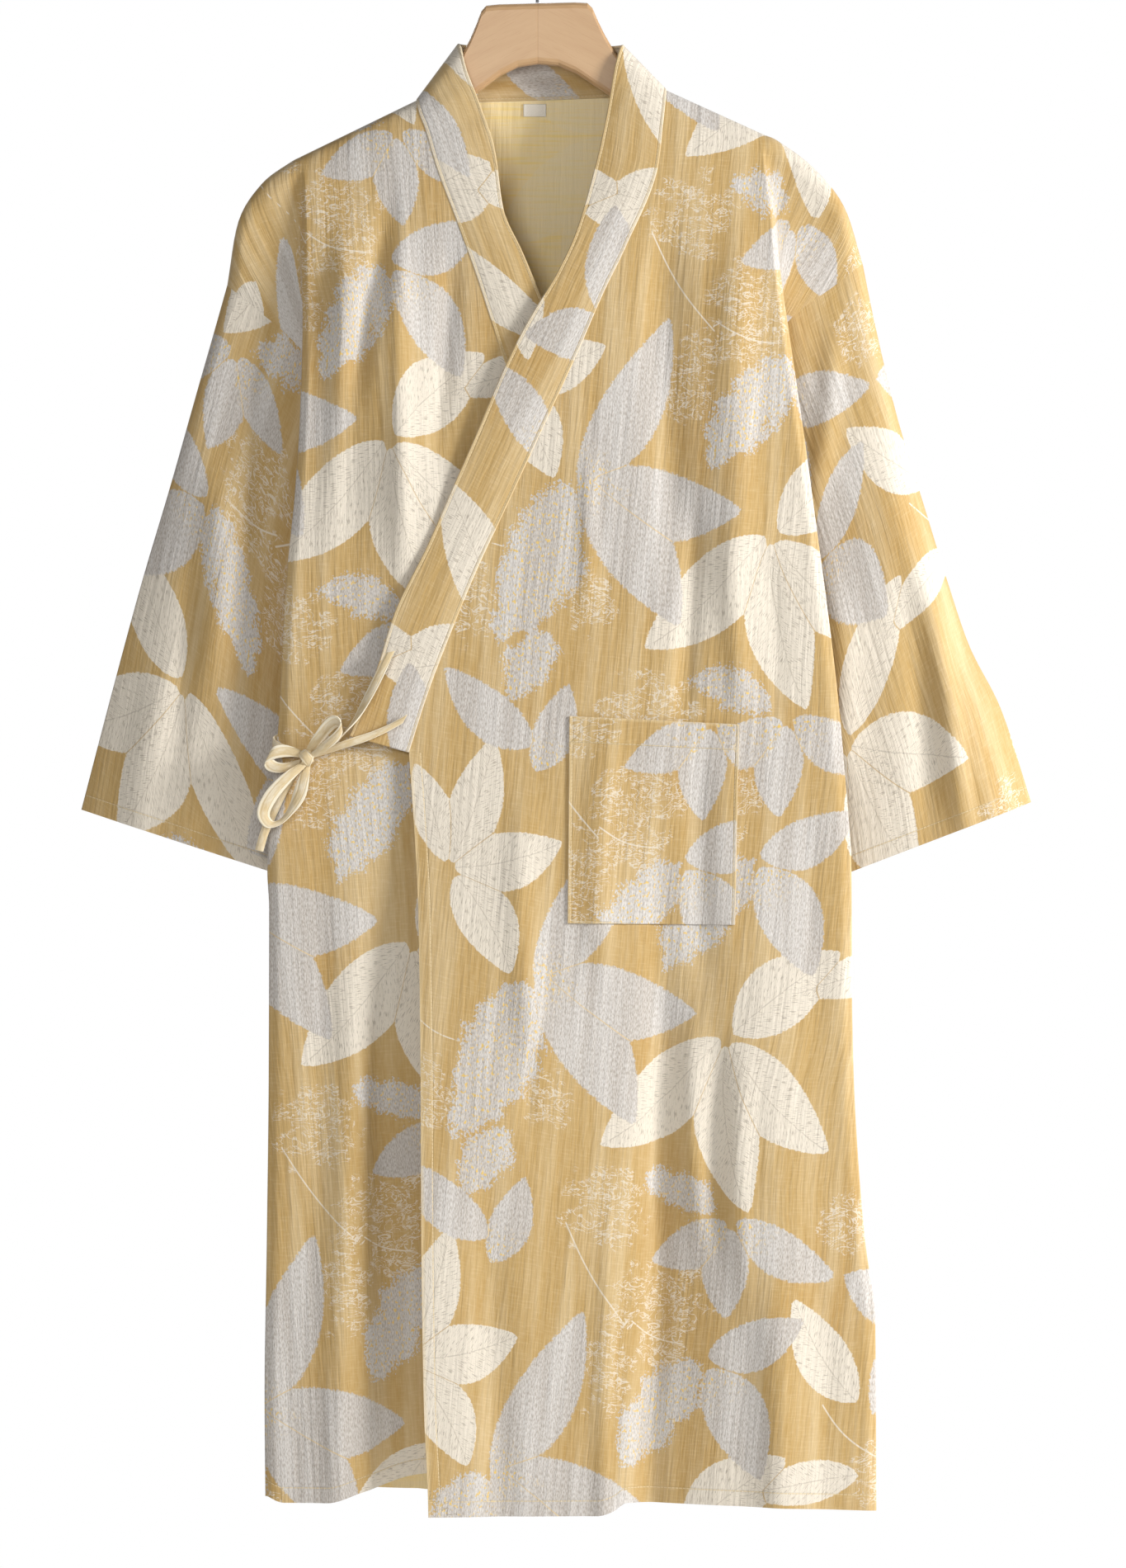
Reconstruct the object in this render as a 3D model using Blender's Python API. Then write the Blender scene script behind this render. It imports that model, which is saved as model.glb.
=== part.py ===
"""Cotton kimono robe, front wrapped left over right and tied, on a flat wooden hanger.

Millimetres in the tables, metres in the scene. Origin at the inside top of the hook,
+X to the wearer's left, front facing -Y, +Z up. The cloth hangs at rest.
"""
import math

import bmesh
import bpy
import numpy as np
from mathutils import Matrix, Vector
from mathutils.bvhtree import BVHTree

for old in list(bpy.data.objects):
    bpy.data.objects.remove(old)

MM = 0.001

CLOTH = 1.6             # double gauze with its seam allowances
BAND = 2.0              # folded collar band
RIBBON = 1.2            # narrow ties
SEAM_GAP = 0.5
LAP = 6.5               # the overlap lies this far in front of the under layer
LENS = (9.5, 7.0)       # how far the armhole opens to the front and to the back
UNDERARM_DROP = 310.0
HEM_DROP = 1121.0

# Row levels, as drops below the shoulder seam. The first ones turn over the hanger.
DROPS = [0, 1.2, 4.5, 10, 18, 32, 55, 85, 118, 150, 185, 225, 266, 310, 360, 412, 466, 523, 580,
         640, 710, 790, 870, 950, 1035, 1121]

# How far the cloth stands in front of and behind the seams, by drop.
#        drop    front   back
DEPTH = [(0,       0.4,   0.4),
         (1.2,     5.0,   5.0),
         (4.5,     9.5,   9.5),
         (10,     12.5,  12.5),
         (18,     15.0,  14.5),
         (32,     18.0,  16.5),
         (60,     22.0,  18.5),
         (100,    26.0,  20.0),
         (150,    30.0,  22.0),
         (220,    34.0,  24.5),
         (310,    38.0,  28.0),
         (450,    43.0,  31.0),
         (650,    47.0,  33.0),
         (1121,   50.0,  35.0)]

# The shoulder seam beyond the hanger's tip: fold, its far side, and down to the armhole.
#                 x       z
RIDGE_LEFT = [(178.0, -165.0), (190.0, -170.5), (216.0, -190.0), (241.0, -221.0), (256.0, -267.0)]
RIDGE_RIGHT = [(-186.0, -182.0), (-197.0, -188.0), (-218.0, -204.0), (-236.0, -233.0), (-245.0, -284.0)]

# Side fold of each front, outermost x, by height.
FOLD_LEFT = [(-167, 179.0), (-222, 186.0), (-275, 190.5), (-340, 199.0), (-405, 208.0), (-470, 216.5),
             (-535, 225.0), (-600, 232.7), (-671, 239.0), (-747, 244.0), (-840, 244.5), (-905, 246.0),
             (-970, 249.5), (-1035, 255.0), (-1100, 263.0), (-1250, 264.0)]
FOLD_RIGHT = [(-183, -187.0), (-255, -186.0), (-320, -184.6), (-385, -186.0), (-450, -190.0),
              (-515, -196.0), (-580, -199.5), (-625, -201.5), (-677, -206.0), (-746, -210.0),
              (-775, -208.6), (-905, -209.0), (-1035, -210.6), (-1165, -212.5), (-1250, -212.0)]

# Armhole seam and, below the underarm, side seam, by height.
SEAM_LEFT = [(-267, 256.0), (-283, 236.0), (-310, 200.0), (-350, 170.0), (-395, 154.0), (-440, 150.0),
             (-600, 152.0), (-775, 158.0), (-1000, 182.0), (-1260, 203.0)]
SEAM_RIGHT = [(-284, -245.0), (-300, -226.0), (-325, -196.0), (-360, -168.0), (-400, -153.0),
              (-443, -148.0), (-600, -128.0), (-775, -114.0), (-1000, -122.0), (-1260, -138.0)]

# Collar band: seam point on the front's edge and free edge, from the neck point down.
#                seam z  seam x  free x  free y   free z
BAND_LEFT = [(-130.0, 101.0, 66.0, 0.0, -94.0),
             (-131.2, 101.0, 64.5, -7.0, -97.0),
             (-134.5, 100.9, 62.5, -11.0, -104.0),
             (-140.0, 100.6, 60.5, -12.5, -112.0),
             (-160.0, 98.5, 55.0, -15.0, -145.0),
             (-190.0, 95.0, 47.0, -19.0, -183.0),
             (-258.0, 68.0, 30.0, -27.0, -243.0),
             (-291.0, 52.0, 16.0, -32.0, -274.0),
             (-335.0, 33.0, -9.0, -36.0, -316.0),
             (-370.0, 17.0, -26.0, -39.0, -350.0),
             (-428.5, -10.0, -51.0, -43.0, -409.0),
             (-469.5, -29.0, -69.0, -45.0, -450.0),
             (-509.0, -47.5, -87.0, -47.0, -491.0),
             (-560.0, -68.5, -112.0, -49.0, -542.0),
             (-606.0, -86.0, -127.0, -51.0, -589.0),
             (-653.0, -101.0, -148.0, -53.5, -640.0)]
BAND_RIGHT = [(-138.0, -95.5, -62.0, 0.0, -93.0),
              (-139.2, -95.5, -60.5, -7.0, -96.0),
              (-142.4, -95.0, -59.0, -11.0, -103.0),
              (-147.9, -94.0, -56.5, -12.5, -113.0),
              (-160.0, -89.5, -47.0, -14.5, -138.0),
              (-190.0, -80.6, -34.0, -18.0, -177.0),
              (-239.0, -62.4, -27.0, -23.0, -225.0),
              (-275.0, -49.4, -12.0, -26.5, -259.0),
              (-319.0, -35.0, 6.0, -30.5, -302.0),
              (-343.0, -27.0, 14.0, -32.0, -322.0),
              (-440.0, 20.0, 61.0, -37.0, -419.0),
              (-540.0, 70.0, 111.0, -41.0, -519.0),
              (-653.0, 125.0, 166.0, -43.5, -634.0)]

# Straight front edges below the collar, by height.
EDGE_LEFT = [(-653, -101.0), (-710, -97.0), (-775, -93.6), (-905, -91.6), (-1035, -91.0),
             (-1165, -89.0), (-1230, -86.0), (-1270, -85.0)]
EDGE_RIGHT = [(-653, 125.0), (-775, 129.0), (-1000, 134.0), (-1270, 137.0)]

# Lift of each hem above its level line, by x.
HEM_LEFT = [(-100, 0.0), (46, 0.0), (58, 3.0), (70, 10.0), (150, 8.0), (264, 4.0)]
HEM_RIGHT = [(-212, 6.0), (-200, 1.0), (-165, 1.0), (-138, 9.0), (-86, 24.0), (130, 28.0)]
HEM_BACK = [(-220, 8.0), (0, 4.0), (264, 6.0)]

# Soft folds: x and z at the top and bottom, half width, height toward the front.
#               x top  z top  x bottom  z bottom  half  height
SOFT_LEFT = [(140.0, -180.0, 120.0, -620.0, 34.0, 5.0),
             (64.0, -850.0, 34.0, -1600.0, 30.0, 9.0),
             (165.0, -760.0, 200.0, -1900.0, 40.0, 6.0),
             (-30.0, -700.0, -50.0, -1900.0, 40.0, 4.0)]
SOFT_RIGHT = [(-122.0, -190.0, -110.0, -560.0, 34.0, 6.0),
              (-155.0, -700.0, -150.0, -1900.0, 36.0, 4.0)]
SOFT_BACK = [(-60.0, -250.0, -80.0, -1900.0, 50.0, -6.0),
             (90.0, -250.0, 110.0, -1900.0, 50.0, -6.0)]

# Sleeve outline: outer edge and cuff corners.
OUTER_LEFT = [(256.0, -267.0), (263.0, -302.0), (282.0, -383.0), (307.0, -466.0), (325.0, -524.0),
              (340.0, -568.0), (365.0, -618.0), (389.0, -692.0)]
OUTER_RIGHT = [(-245.0, -284.0), (-254.0, -316.0), (-268.0, -365.0), (-290.0, -443.0),
               (-313.0, -521.0), (-336.0, -606.0), (-360.0, -698.0)]
CUFF_LEFT = (171.0, -776.0)
CUFF_RIGHT = (-133.0, -772.0)


def smooth(table, key, column=1):
    """Cubic curve through a table's rows, read at one key."""
    keys = [row[0] for row in table]
    vals = [row[column] for row in table]
    if keys[0] > keys[-1]:
        keys, vals = keys[::-1], vals[::-1]
    if key <= keys[0]:
        return vals[0]
    if key >= keys[-1]:
        return vals[-1]
    i = max(j for j in range(len(keys) - 1) if keys[j] <= key)
    slope = [(vals[j + 1] - vals[j]) / (keys[j + 1] - keys[j]) for j in range(len(keys) - 1)]

    def tangent(j):
        if j == 0 or j == len(keys) - 1:
            return slope[min(j, len(slope) - 1)]
        if slope[j - 1] * slope[j] <= 0:
            return 0.0
        return 2 * slope[j - 1] * slope[j] / (slope[j - 1] + slope[j])
    h = keys[i + 1] - keys[i]
    t = (key - keys[i]) / h
    return ((2 * t ** 3 - 3 * t ** 2 + 1) * vals[i] + (t ** 3 - 2 * t ** 2 + t) * h * tangent(i)
            + (3 * t ** 2 - 2 * t ** 3) * vals[i + 1] + (t ** 3 - t ** 2) * h * tangent(i + 1))


def ease(low, high, value):
    """0 at low, 1 at high, level at both."""
    t = min(1.0, max(0.0, (value - low) / (high - low)))
    return t * t * (3 - 2 * t)


def mix(a, b, t):
    return a + (b - a) * t


def spline(points, steps):
    """Catmull-Rom through the points, the same number of steps in each span."""
    pts = [np.array(p, float) for p in points]
    pts = [2 * pts[0] - pts[1]] + pts + [2 * pts[-1] - pts[-2]]
    out = []
    for i in range(1, len(pts) - 2):
        a, b, c, d = pts[i - 1:i + 3]
        for k in range(steps):
            t = k / steps
            out.append(0.5 * (2 * b + (c - a) * t + (2 * a - 5 * b + 4 * c - d) * t ** 2
                              + (3 * b - a - 3 * c + d) * t ** 3))
    out.append(pts[-2])
    return out


def soft(folds, x, z):
    """Height of the soft folds at a point of a panel."""
    total = 0.0
    for x0, z0, x1, z1, half, height in folds:
        along = (z0 - z) / (z0 - z1)
        if 0 < along < 1:
            across = (x - mix(x0, x1, along)) / half
            total += height * ease(0, 0.35, along) * ease(1, 0.65, along) * math.exp(-across * across)
    return total


LEFT = dict(sign=1, neck=-130.0, scale=1.0, slope=35.0, ridge=RIDGE_LEFT, fold=FOLD_LEFT,
            seam=SEAM_LEFT, band=BAND_LEFT, edge=EDGE_LEFT, hem=HEM_LEFT, soft=SOFT_LEFT,
            shoulder=-267.0, underarm=-440.0, outer=OUTER_LEFT, cuff=CUFF_LEFT, lap=LAP,
            crease=0.17, fullness=27.0)
RIGHT = dict(sign=-1, neck=-138.0, scale=0.985, slope=44.0, ridge=RIDGE_RIGHT, fold=FOLD_RIGHT,
             seam=SEAM_RIGHT, band=BAND_RIGHT, edge=EDGE_RIGHT, hem=HEM_RIGHT, soft=SOFT_RIGHT,
             shoulder=-284.0, underarm=-443.0, outer=OUTER_RIGHT, cuff=CUFF_RIGHT, lap=0.0,
             crease=0.35, fullness=21.0)


def lens(drop, back):
    """Half opening of the armhole at a drop, round at the shoulder and closed underneath."""
    if drop >= UNDERARM_DROP:
        return 0.0
    return LENS[back] * (1 - math.exp(-drop / 5.0)) * math.sqrt(1 - (drop / UNDERARM_DROP) ** 2)


def armhole(side, drop):
    """Seam point at a drop: on the armhole, then on the side seam. Depth is left at zero."""
    level = side["neck"] - drop * side["scale"]
    if drop < UNDERARM_DROP:
        z = mix(side["shoulder"], side["underarm"], drop / UNDERARM_DROP)
    else:
        z = level
    return np.array([smooth(side["seam"], z), 0.0, z])


def side_turn(side, drop, back):
    """Control points of one row from the side fold to the seam."""
    s = side["sign"]
    level = side["neck"] - drop * side["scale"]
    z_fold = level - side["slope"] * (1 - ease(0, 320, drop))
    face = smooth(DEPTH, drop, 2 if back else 1)
    lap = 0.0 if back else side["lap"] * ease(60, 150, drop)
    front = face + lap
    seam = armhole(side, drop)
    seam[1] = 0.4 + lens(drop, back) if drop < UNDERARM_DROP else 1.05
    fold_x = smooth(side["fold"], z_fold) - (6.0 * s if back else 0.0)
    near = np.array([fold_x - 3.0 * s, front - 1.0, z_fold])
    tip = np.array([fold_x, front - 5.5, mix(z_fold, seam[2], 0.03)])
    far = tip + (seam - tip) * [0.36, 0.30, 0.38]
    last = tip + (seam - tip) * [0.74, 0.68, 0.72]
    formed = [near, tip, far, last, seam]
    start = [np.array([x, min(face, 15.0), z - drop * 0.55]) for x, z in side["ridge"][:4]] + [seam]
    w = ease(0, 60, drop)
    points = [mix(a, b, w) for a, b in zip(start, formed)]
    for p in points:
        p[1] *= 1 if back else -1
    return points


def hem_lift(table, x, drop):
    return smooth(table, x) * ease(900, HEM_DROP, drop)


FACE_COLS = 10
TURN_STEPS = 2


def front_row(side, drop, cols=FACE_COLS, steps=TURN_STEPS):
    """One row of a front panel, from the collar seam or the front edge to the side seam."""
    level = side["neck"] - drop * side["scale"]
    edge_x = smooth(side["band"], level) if level > -653 else smooth(side["edge"], level)
    turn = side_turn(side, drop, False)
    near = turn[0]
    depth = smooth(DEPTH, drop) + side["lap"] * ease(60, 150, drop)
    row = []
    for i in range(cols):
        u = i / cols
        x, z = mix(edge_x, near[0], u), mix(level, near[2], u)
        fade = 1 - ease(0.75, 1.0, u)
        row.append(np.array([x, -depth - soft(side["soft"], x, z) * fade * ease(40, 160, drop), z]))
    row += spline(turn, steps)
    for p in row:
        p[2] += hem_lift(side["hem"], p[0], drop)
    return row


def neck_curve(x):
    """Back neck: 1 behind the neck, 0 at the neck points."""
    half = 98.0
    return (1 - min(1.0, abs(x - 2.5) / half) ** 3.2) ** 0.5


NECK_COLS = 10
SHOULDER_COLS = 4


def back_row(drop, neck_cols=NECK_COLS, cols=SHOULDER_COLS, steps=TURN_STEPS):
    """One row of the back, from the right side seam to the left one."""
    sides = []
    for side in (RIGHT, LEFT):
        level = side["neck"] - drop * side["scale"]
        turn = side_turn(side, drop, True)
        neck_x = side["band"][0][1]
        depth = smooth(DEPTH, drop, 2)
        out = []
        for i in range(1, cols):
            u = i / cols
            x, z = mix(neck_x, turn[0][0], u), mix(level, turn[0][2], u)
            fade = 1 - ease(0.6, 1.0, u)
            out.append(np.array([x, depth - soft(SOFT_BACK, x, z) * fade, z]))
        sides.append(out + spline(turn, steps))
    middle = []
    for i in range(neck_cols + 1):
        u = i / neck_cols
        bend = 0.5 - 0.5 * math.cos(math.pi * u)
        x = mix(RIGHT["band"][0][1], LEFT["band"][0][1], mix(u, bend, 0.6))
        level = mix(RIGHT["neck"] - drop * RIGHT["scale"], LEFT["neck"] - drop * LEFT["scale"], u)
        level -= 2.0 * math.sin(math.pi * u) * (1 - ease(0, 200, drop))
        depth = smooth(DEPTH, drop, 2)
        y = mix(depth, max(depth, 23.0 + 0.01 * drop), neck_curve(x))
        middle.append(np.array([x, y - soft(SOFT_BACK, x, level), level]))
    row = sides[0][::-1] + middle + sides[1]
    for p in row:
        p[2] += hem_lift(HEM_BACK, p[0], drop)
    return row


def collar_side(side, drops):
    """Rows of the band on one front: seam edge to free edge."""
    rows = []
    for drop in drops:
        edge = front_row(side, drop)[0]
        level = side["neck"] - drop * side["scale"]
        free = np.array([smooth(side["band"], level, c) for c in (2, 3, 4)])
        if side["lap"] == 0.0 and drop > 32:
            free[1] = edge[1] + 1.0
        if side["lap"] > 0.0 and drop > 32:
            free[1] = edge[1] + mix(1.0, -1.0, ease(60, 150, drop))
        way = (free - edge) / np.linalg.norm(free - edge)
        start = edge + way * SEAM_GAP
        bow = np.array([0.0, -1.6 if drop > 15 else -0.4, 0.0])
        rows.append([mix(start, free, u) + bow * math.sin(math.pi * u) for u in np.linspace(0, 1, 5)])
    return rows


def collar_rows():
    drops = [d for d in DROPS if d <= 523]
    left = collar_side(LEFT, drops[::-1])
    right = collar_side(RIGHT, drops)
    back = back_row(0)
    first = back[(TURN_STEPS * 4 + 1) + SHOULDER_COLS - 1:][:NECK_COLS + 1][::-1]
    start, stop = left[-1][-1], right[0][-1]
    middle = []
    for i, point in enumerate(first):
        u = i / NECK_COLS
        round_x = mix(u, 0.5 - 0.5 * math.cos(math.pi * u), 0.6)
        free = np.array([mix(start[0], stop[0], round_x), 0.0, mix(start[2], stop[2], u)])
        free[1] = 19.0 * neck_curve(point[0])
        way = (free - point) / np.linalg.norm(free - point)
        edge = point + way * (SEAM_GAP + 0.2)
        if i in (0, NECK_COLS):
            edge[1] = 0.0
        middle.append([mix(edge, free, v) for v in np.linspace(0, 1, 5)])
    return left[:-1] + middle + right[1:]


def sleeve_rows(side, stations=11):
    """Rings of one sleeve, from the armhole to the cuff."""
    s = side["sign"]
    drops = [d for d in DROPS if d <= UNDERARM_DROP]
    top = side["outer"]
    lengths = [0.0]
    for a, b in zip(top, top[1:]):
        lengths.append(lengths[-1] + math.dist(a, b))
    top_x = [(l, p[0]) for l, p in zip(lengths, top)]
    top_z = [(l, p[1]) for l, p in zip(lengths, top)]
    shoulder = np.array([top[0][0] + 0.4 * s, top[0][1] - 0.9])
    seam_low = armhole(side, UNDERARM_DROP)
    low0 = np.array([seam_low[0] + 6.0 * s, seam_low[2] - 5.0])
    low1 = np.array(side["cuff"])
    rings = []
    for j in range(stations):
        a = j / (stations - 1)
        a = mix(a, a * a, 0.25)
        high = np.array([smooth(top_x, lengths[-1] * a), smooth(top_z, lengths[-1] * a)])
        high = high + (shoulder - np.array(top[0])) * (1 - ease(0, 0.3, a))
        low = mix(low0, low1, a)
        straight = ease(0.0, 0.4, a)
        halves = []
        for back in (False, True):
            half = []
            for drop in drops:
                t = drop / UNDERARM_DROP
                seam = armhole(side, drop)
                ring = np.array([seam[0] + mix(0.4, 6.0, t ** 3) * s, seam[2] - mix(0.9, 5.0, t ** 2)])
                chord0 = mix(shoulder, low0, t)
                point = mix(high, low, t) + (ring - chord0) * (1 - straight)
                arm = max(0.0, lens(drop, back) + 0.4 * ease(0, 2, drop) - 2.2 * ease(40, 120, drop))
                c = side["crease"]
                if back:
                    shape = math.sin(math.pi * t ** 0.8) ** 0.8
                    full = 13.0
                elif t < c:
                    shape = math.sin(math.pi / 2 * t / c) ** 0.9
                    full = side["fullness"]
                else:
                    shape = math.cos(math.pi / 2 * (t - c) / (1 - c)) ** 1.05
                    full = side["fullness"]
                spread = full * mix(0.75, 1.0, a) * shape
                y = mix(arm, spread, ease(0.0, 0.55, a))
                half.append(np.array([point[0], y if back else -y, point[1]]))
            halves.append(half)
        ring = halves[0] + halves[1][-2:0:-1]
        rings.append(ring)
    return rings


def material(name, colour, roughness, metallic=0.0):
    mat = bpy.data.materials.new(name)
    mat.use_nodes = True
    shader = mat.node_tree.nodes["Principled BSDF"]
    shader.inputs["Base Color"].default_value = (*colour, 1.0)
    shader.inputs["Roughness"].default_value = roughness
    shader.inputs["Metallic"].default_value = metallic
    return mat


def add_object(name, bm, mat):
    bmesh.ops.recalc_face_normals(bm, faces=bm.faces)
    mesh = bpy.data.meshes.new(name)
    bm.to_mesh(mesh)
    bm.free()
    mesh.materials.append(mat)
    mesh.shade_smooth()
    mesh.set_sharp_from_angle(angle=math.radians(40))
    obj = bpy.data.objects.new(name, mesh)
    bpy.context.scene.collection.objects.link(obj)
    return obj


def sheet(name, rows, mat, thickness, closed=False):
    """A cloth piece: a grid of the rows, given its thickness about the middle."""
    bm = bmesh.new()
    verts = [[bm.verts.new(Vector(p) * MM) for p in row] for row in rows]
    count = len(rows[0])
    for a, b in zip(verts, verts[1:]):
        for i in range(count if closed else count - 1):
            k = (i + 1) % count
            bm.faces.new((a[i], a[k], b[k], b[i]))
    obj = add_object(name, bm, mat)
    solid = obj.modifiers.new("Thickness", "SOLIDIFY")
    solid.thickness = thickness * MM
    solid.offset = 0.0
    solid.use_even_offset = True
    return obj


# Hanger: half outline of the board, in its own frame.
#            x     top     bottom
BOARD = [(0.0, -61.0, -109.0),
         (16.0, -61.0, -111.0),
         (30.0, -61.0, -117.5),
         (40.0, -61.8, -124.5),
         (44.0, -66.0, -127.5),
         (48.0, -76.0, -130.0),
         (53.0, -87.0, -133.5),
         (59.0, -98.0, -138.0),
         (66.0, -108.5, -143.0),
         (76.0, -121.0, -150.5),
         (87.0, -132.0, -158.5),
         (98.0, -140.0, -165.5),
         (125.0, -152.5, -179.5),
         (150.0, -164.5, -189.5),
         (172.0, -175.5, -196.5),
         (181.0, -180.5, -197.5),
         (186.0, -186.5, -193.5)]
BOARD_THICK = 14.0
BOARD_ROUND = 5.0
BOARD_TILT = 1.5        # the hanger hangs this far out of level, in degrees
WIRE = 1.8
HOOK_INNER = 21.0

# Pocket corners on the left front, x and z: top inner, top outer, bottom outer, bottom inner.
POCKET = [(24.7, -624.2), (158.0, -630.7), (154.7, -788.0), (23.4, -786.7)]
POCKET_STANDS = 2.1
LABEL = (18.0, 10.0, 1.0)
LABEL_AT = (-2.6, -143.8)

# Ribbons of the ties: centre line, half width, and how the width lies: turn in the front
# plane from +X, then tip toward the viewer.
#                    x       y       z     half  turn  tip
TIE_FRONT = [(-104.0, -57.6, -626.5, 4.0, 62, 0),
             (-118.0, -58.2, -634.0, 4.0, 62, 0),
             (-133.0, -58.6, -640.5, 4.0, 66, 5),
             (-149.0, -58.2, -645.5, 3.8, 72, 20),
             (-162.0, -55.5, -650.0, 3.4, 76, 30),
             (-173.6, -53.0, -654.6, 2.6, 80, 30)]
TIE_EDGE = [(-115.5, -57.4, -574.0, 3.4, 12, 0),
            (-124.0, -58.4, -592.0, 4.2, 10, 10),
            (-133.5, -60.0, -611.0, 4.4, 14, 25),
            (-142.5, -61.8, -627.0, 4.2, 30, 35),
            (-153.5, -61.6, -640.0, 3.8, 50, 35),
            (-164.5, -59.0, -648.0, 3.2, 64, 30),
            (-173.4, -55.9, -652.2, 2.4, 74, 30)]
TIE_SIDE = [(-185.0, -29.0, -637.0, 3.6, 90, 0),
            (-198.0, -34.3, -640.0, 3.6, 90, 0),
            (-206.8, -39.5, -643.0, 3.6, 90, 0),
            (-206.8, -46.5, -646.0, 3.6, 88, 0),
            (-199.5, -49.2, -650.0, 3.4, 84, 0),
            (-188.0, -50.6, -654.8, 2.6, 84, 0)]
LOOP_UP = [(-178.4, -53.2, -649.8, 2.4, 140, 10),
           (-172.0, -62.0, -641.5, 4.4, 135, 25),
           (-163.0, -67.5, -631.0, 5.4, 128, 30),
           (-156.5, -70.5, -628.5, 5.4, 112, 30),
           (-153.6, -71.5, -633.5, 5.0, 95, 30),
           (-158.5, -68.5, -641.0, 4.4, 100, 25),
           (-168.0, -63.0, -648.5, 3.2, 110, 20),
           (-175.2, -56.9, -654.4, 2.2, 110, 20)]
LOOP_SIDE = [(-187.4, -53.0, -653.0, 2.2, 95, 0),
             (-197.0, -55.6, -651.5, 4.6, 92, 10),
             (-207.0, -57.0, -653.0, 5.2, 80, 10),
             (-212.0, -55.5, -657.5, 5.0, 62, 0),
             (-209.0, -53.6, -663.0, 4.6, 60, 0),
             (-200.0, -53.2, -664.8, 3.8, 70, 0),
             (-188.6, -52.2, -661.4, 2.0, 85, 0)]
LOOP_LOW = [(-184.3, -54.3, -663.5, 2.4, 150, 0),
            (-196.0, -59.0, -672.0, 4.6, 152, 10),
            (-208.5, -60.5, -686.0, 5.6, 160, 10),
            (-215.0, -59.5, -700.0, 5.2, 176, 15),
            (-210.5, -58.0, -709.0, 4.2, 220, 25),
            (-201.5, -56.0, -707.0, 3.6, 252, 30),
            (-193.0, -54.4, -697.0, 4.6, 290, 30),
            (-186.0, -53.0, -683.0, 5.4, 330, 10),
            (-181.3, -52.0, -664.5, 2.6, 356, 0)]
TAIL = [(-185.5, -50.2, -662.1, 2.2, 140, 0),
        (-198.0, -49.2, -680.0, 3.4, 150, 0),
        (-208.0, -49.4, -700.0, 3.6, 158, 0),
        (-214.6, -49.8, -716.0, 3.4, 166, 0),
        (-218.6, -50.0, -730.0, 3.2, 166, 0)]
KNOT = (-180.7, -51.6, -657.0)
KNOT_RADII = (6.6, 5.6, 6.8)


def tube(name, rings, mat):
    """A solid skinned through closed rings, capped at both ends."""
    bm = bmesh.new()
    loops = [[bm.verts.new(Vector(p) * MM) for p in ring] for ring in rings]
    count = len(rings[0])
    for a, b in zip(loops, loops[1:]):
        for i in range(count):
            k = (i + 1) % count
            bm.faces.new((a[i], a[k], b[k], b[i]))
    for ring in (loops[0], loops[-1]):
        bm.faces.new(ring)
    return add_object(name, bm, mat)


def board_ring(x, top, bottom, corner=3):
    """Rounded upright section of the hanger's board."""
    half_y, half_z = BOARD_THICK / 2, (top - bottom) / 2
    r = min(BOARD_ROUND, half_z * 0.9)
    ring = []
    for q, (sy, sz) in enumerate(((1, 1), (-1, 1), (-1, -1), (1, -1))):
        for k in range(corner + 1):
            a = math.radians(90 * q + 90 * k / corner)
            ring.append((x, sy * (half_y - r) + r * math.cos(a),
                         (top + bottom) / 2 + sz * (half_z - r) + r * math.sin(a)))
    return ring


def hook_rings(sides=10, steps=22):
    """Wire from the board up and round, 250 degrees over the rail."""
    radius = HOOK_INNER + WIRE
    centre = Vector((0, 0, -HOOK_INNER))
    path = [Vector((0, 0, -60.6)), Vector((0, 0, -52.0))]
    for k in range(steps + 1):
        a = math.radians(-90 + 250 * k / steps)
        path.append(centre + Vector((radius * math.cos(a), 0, radius * math.sin(a))))
    rings = []
    for i, p in enumerate(path):
        ahead, behind = path[min(i + 1, len(path) - 1)], path[max(i - 1, 0)]
        along = (ahead - behind).normalized() if i > 1 else Vector((0.0, 0, 1))
        if i == 2:
            along = Vector((0.6, 0, 0.8))
        side = Vector((0, 1, 0))
        up = along.cross(side)
        scale = 0.6 if i == len(path) - 1 else 1.0
        rings.append([p + (side * math.cos(t) + up * math.sin(t)) * WIRE * scale
                      for t in (2 * math.pi * j / sides for j in range(sides))])
    return rings


def ribbon_rows(table, steps=2):
    """Both edges and the middle of a flat tie along its centre line."""
    rows = []
    for x, y, z, half, turn, tip in spline(table, steps):
        a, b = math.radians(turn), math.radians(tip)
        across = np.array([math.cos(a) * math.cos(b), -math.sin(b), math.sin(a) * math.cos(b)])
        centre = np.array([x, y, z])
        rows.append([centre - across * half, centre, centre + across * half])
    return rows


def surface(rows):
    """The middle of a sheet, to lay other pieces on."""
    points = [Vector(p) for row in rows for p in row]
    cols = len(rows[0])
    quads = [(r * cols + c, r * cols + c + 1, (r + 1) * cols + c + 1, (r + 1) * cols + c)
             for r in range(len(rows) - 1) for c in range(cols - 1)]
    return BVHTree.FromPolygons(points, quads)


def pocket_rows(cols=9, rows=9):
    panel = surface([front_row(LEFT, d)[:FACE_COLS + 1] for d in DROPS])
    grid = []
    for j in range(rows):
        v = j / (rows - 1)
        line = []
        for i in range(cols):
            u = i / (cols - 1)
            x = mix(mix(POCKET[0][0], POCKET[1][0], u), mix(POCKET[3][0], POCKET[2][0], u), v)
            z = mix(mix(POCKET[0][1], POCKET[1][1], u), mix(POCKET[3][1], POCKET[2][1], u), v)
            hit = panel.ray_cast(Vector((x, -300.0, z)), Vector((0, 1, 0)))[0]
            mouth = 1.4 * math.sin(math.pi * u) * (1 - ease(0, 0.3, v))
            line.append((x, hit.y - POCKET_STANDS - mouth, z))
        grid.append(line)
    return grid


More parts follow.
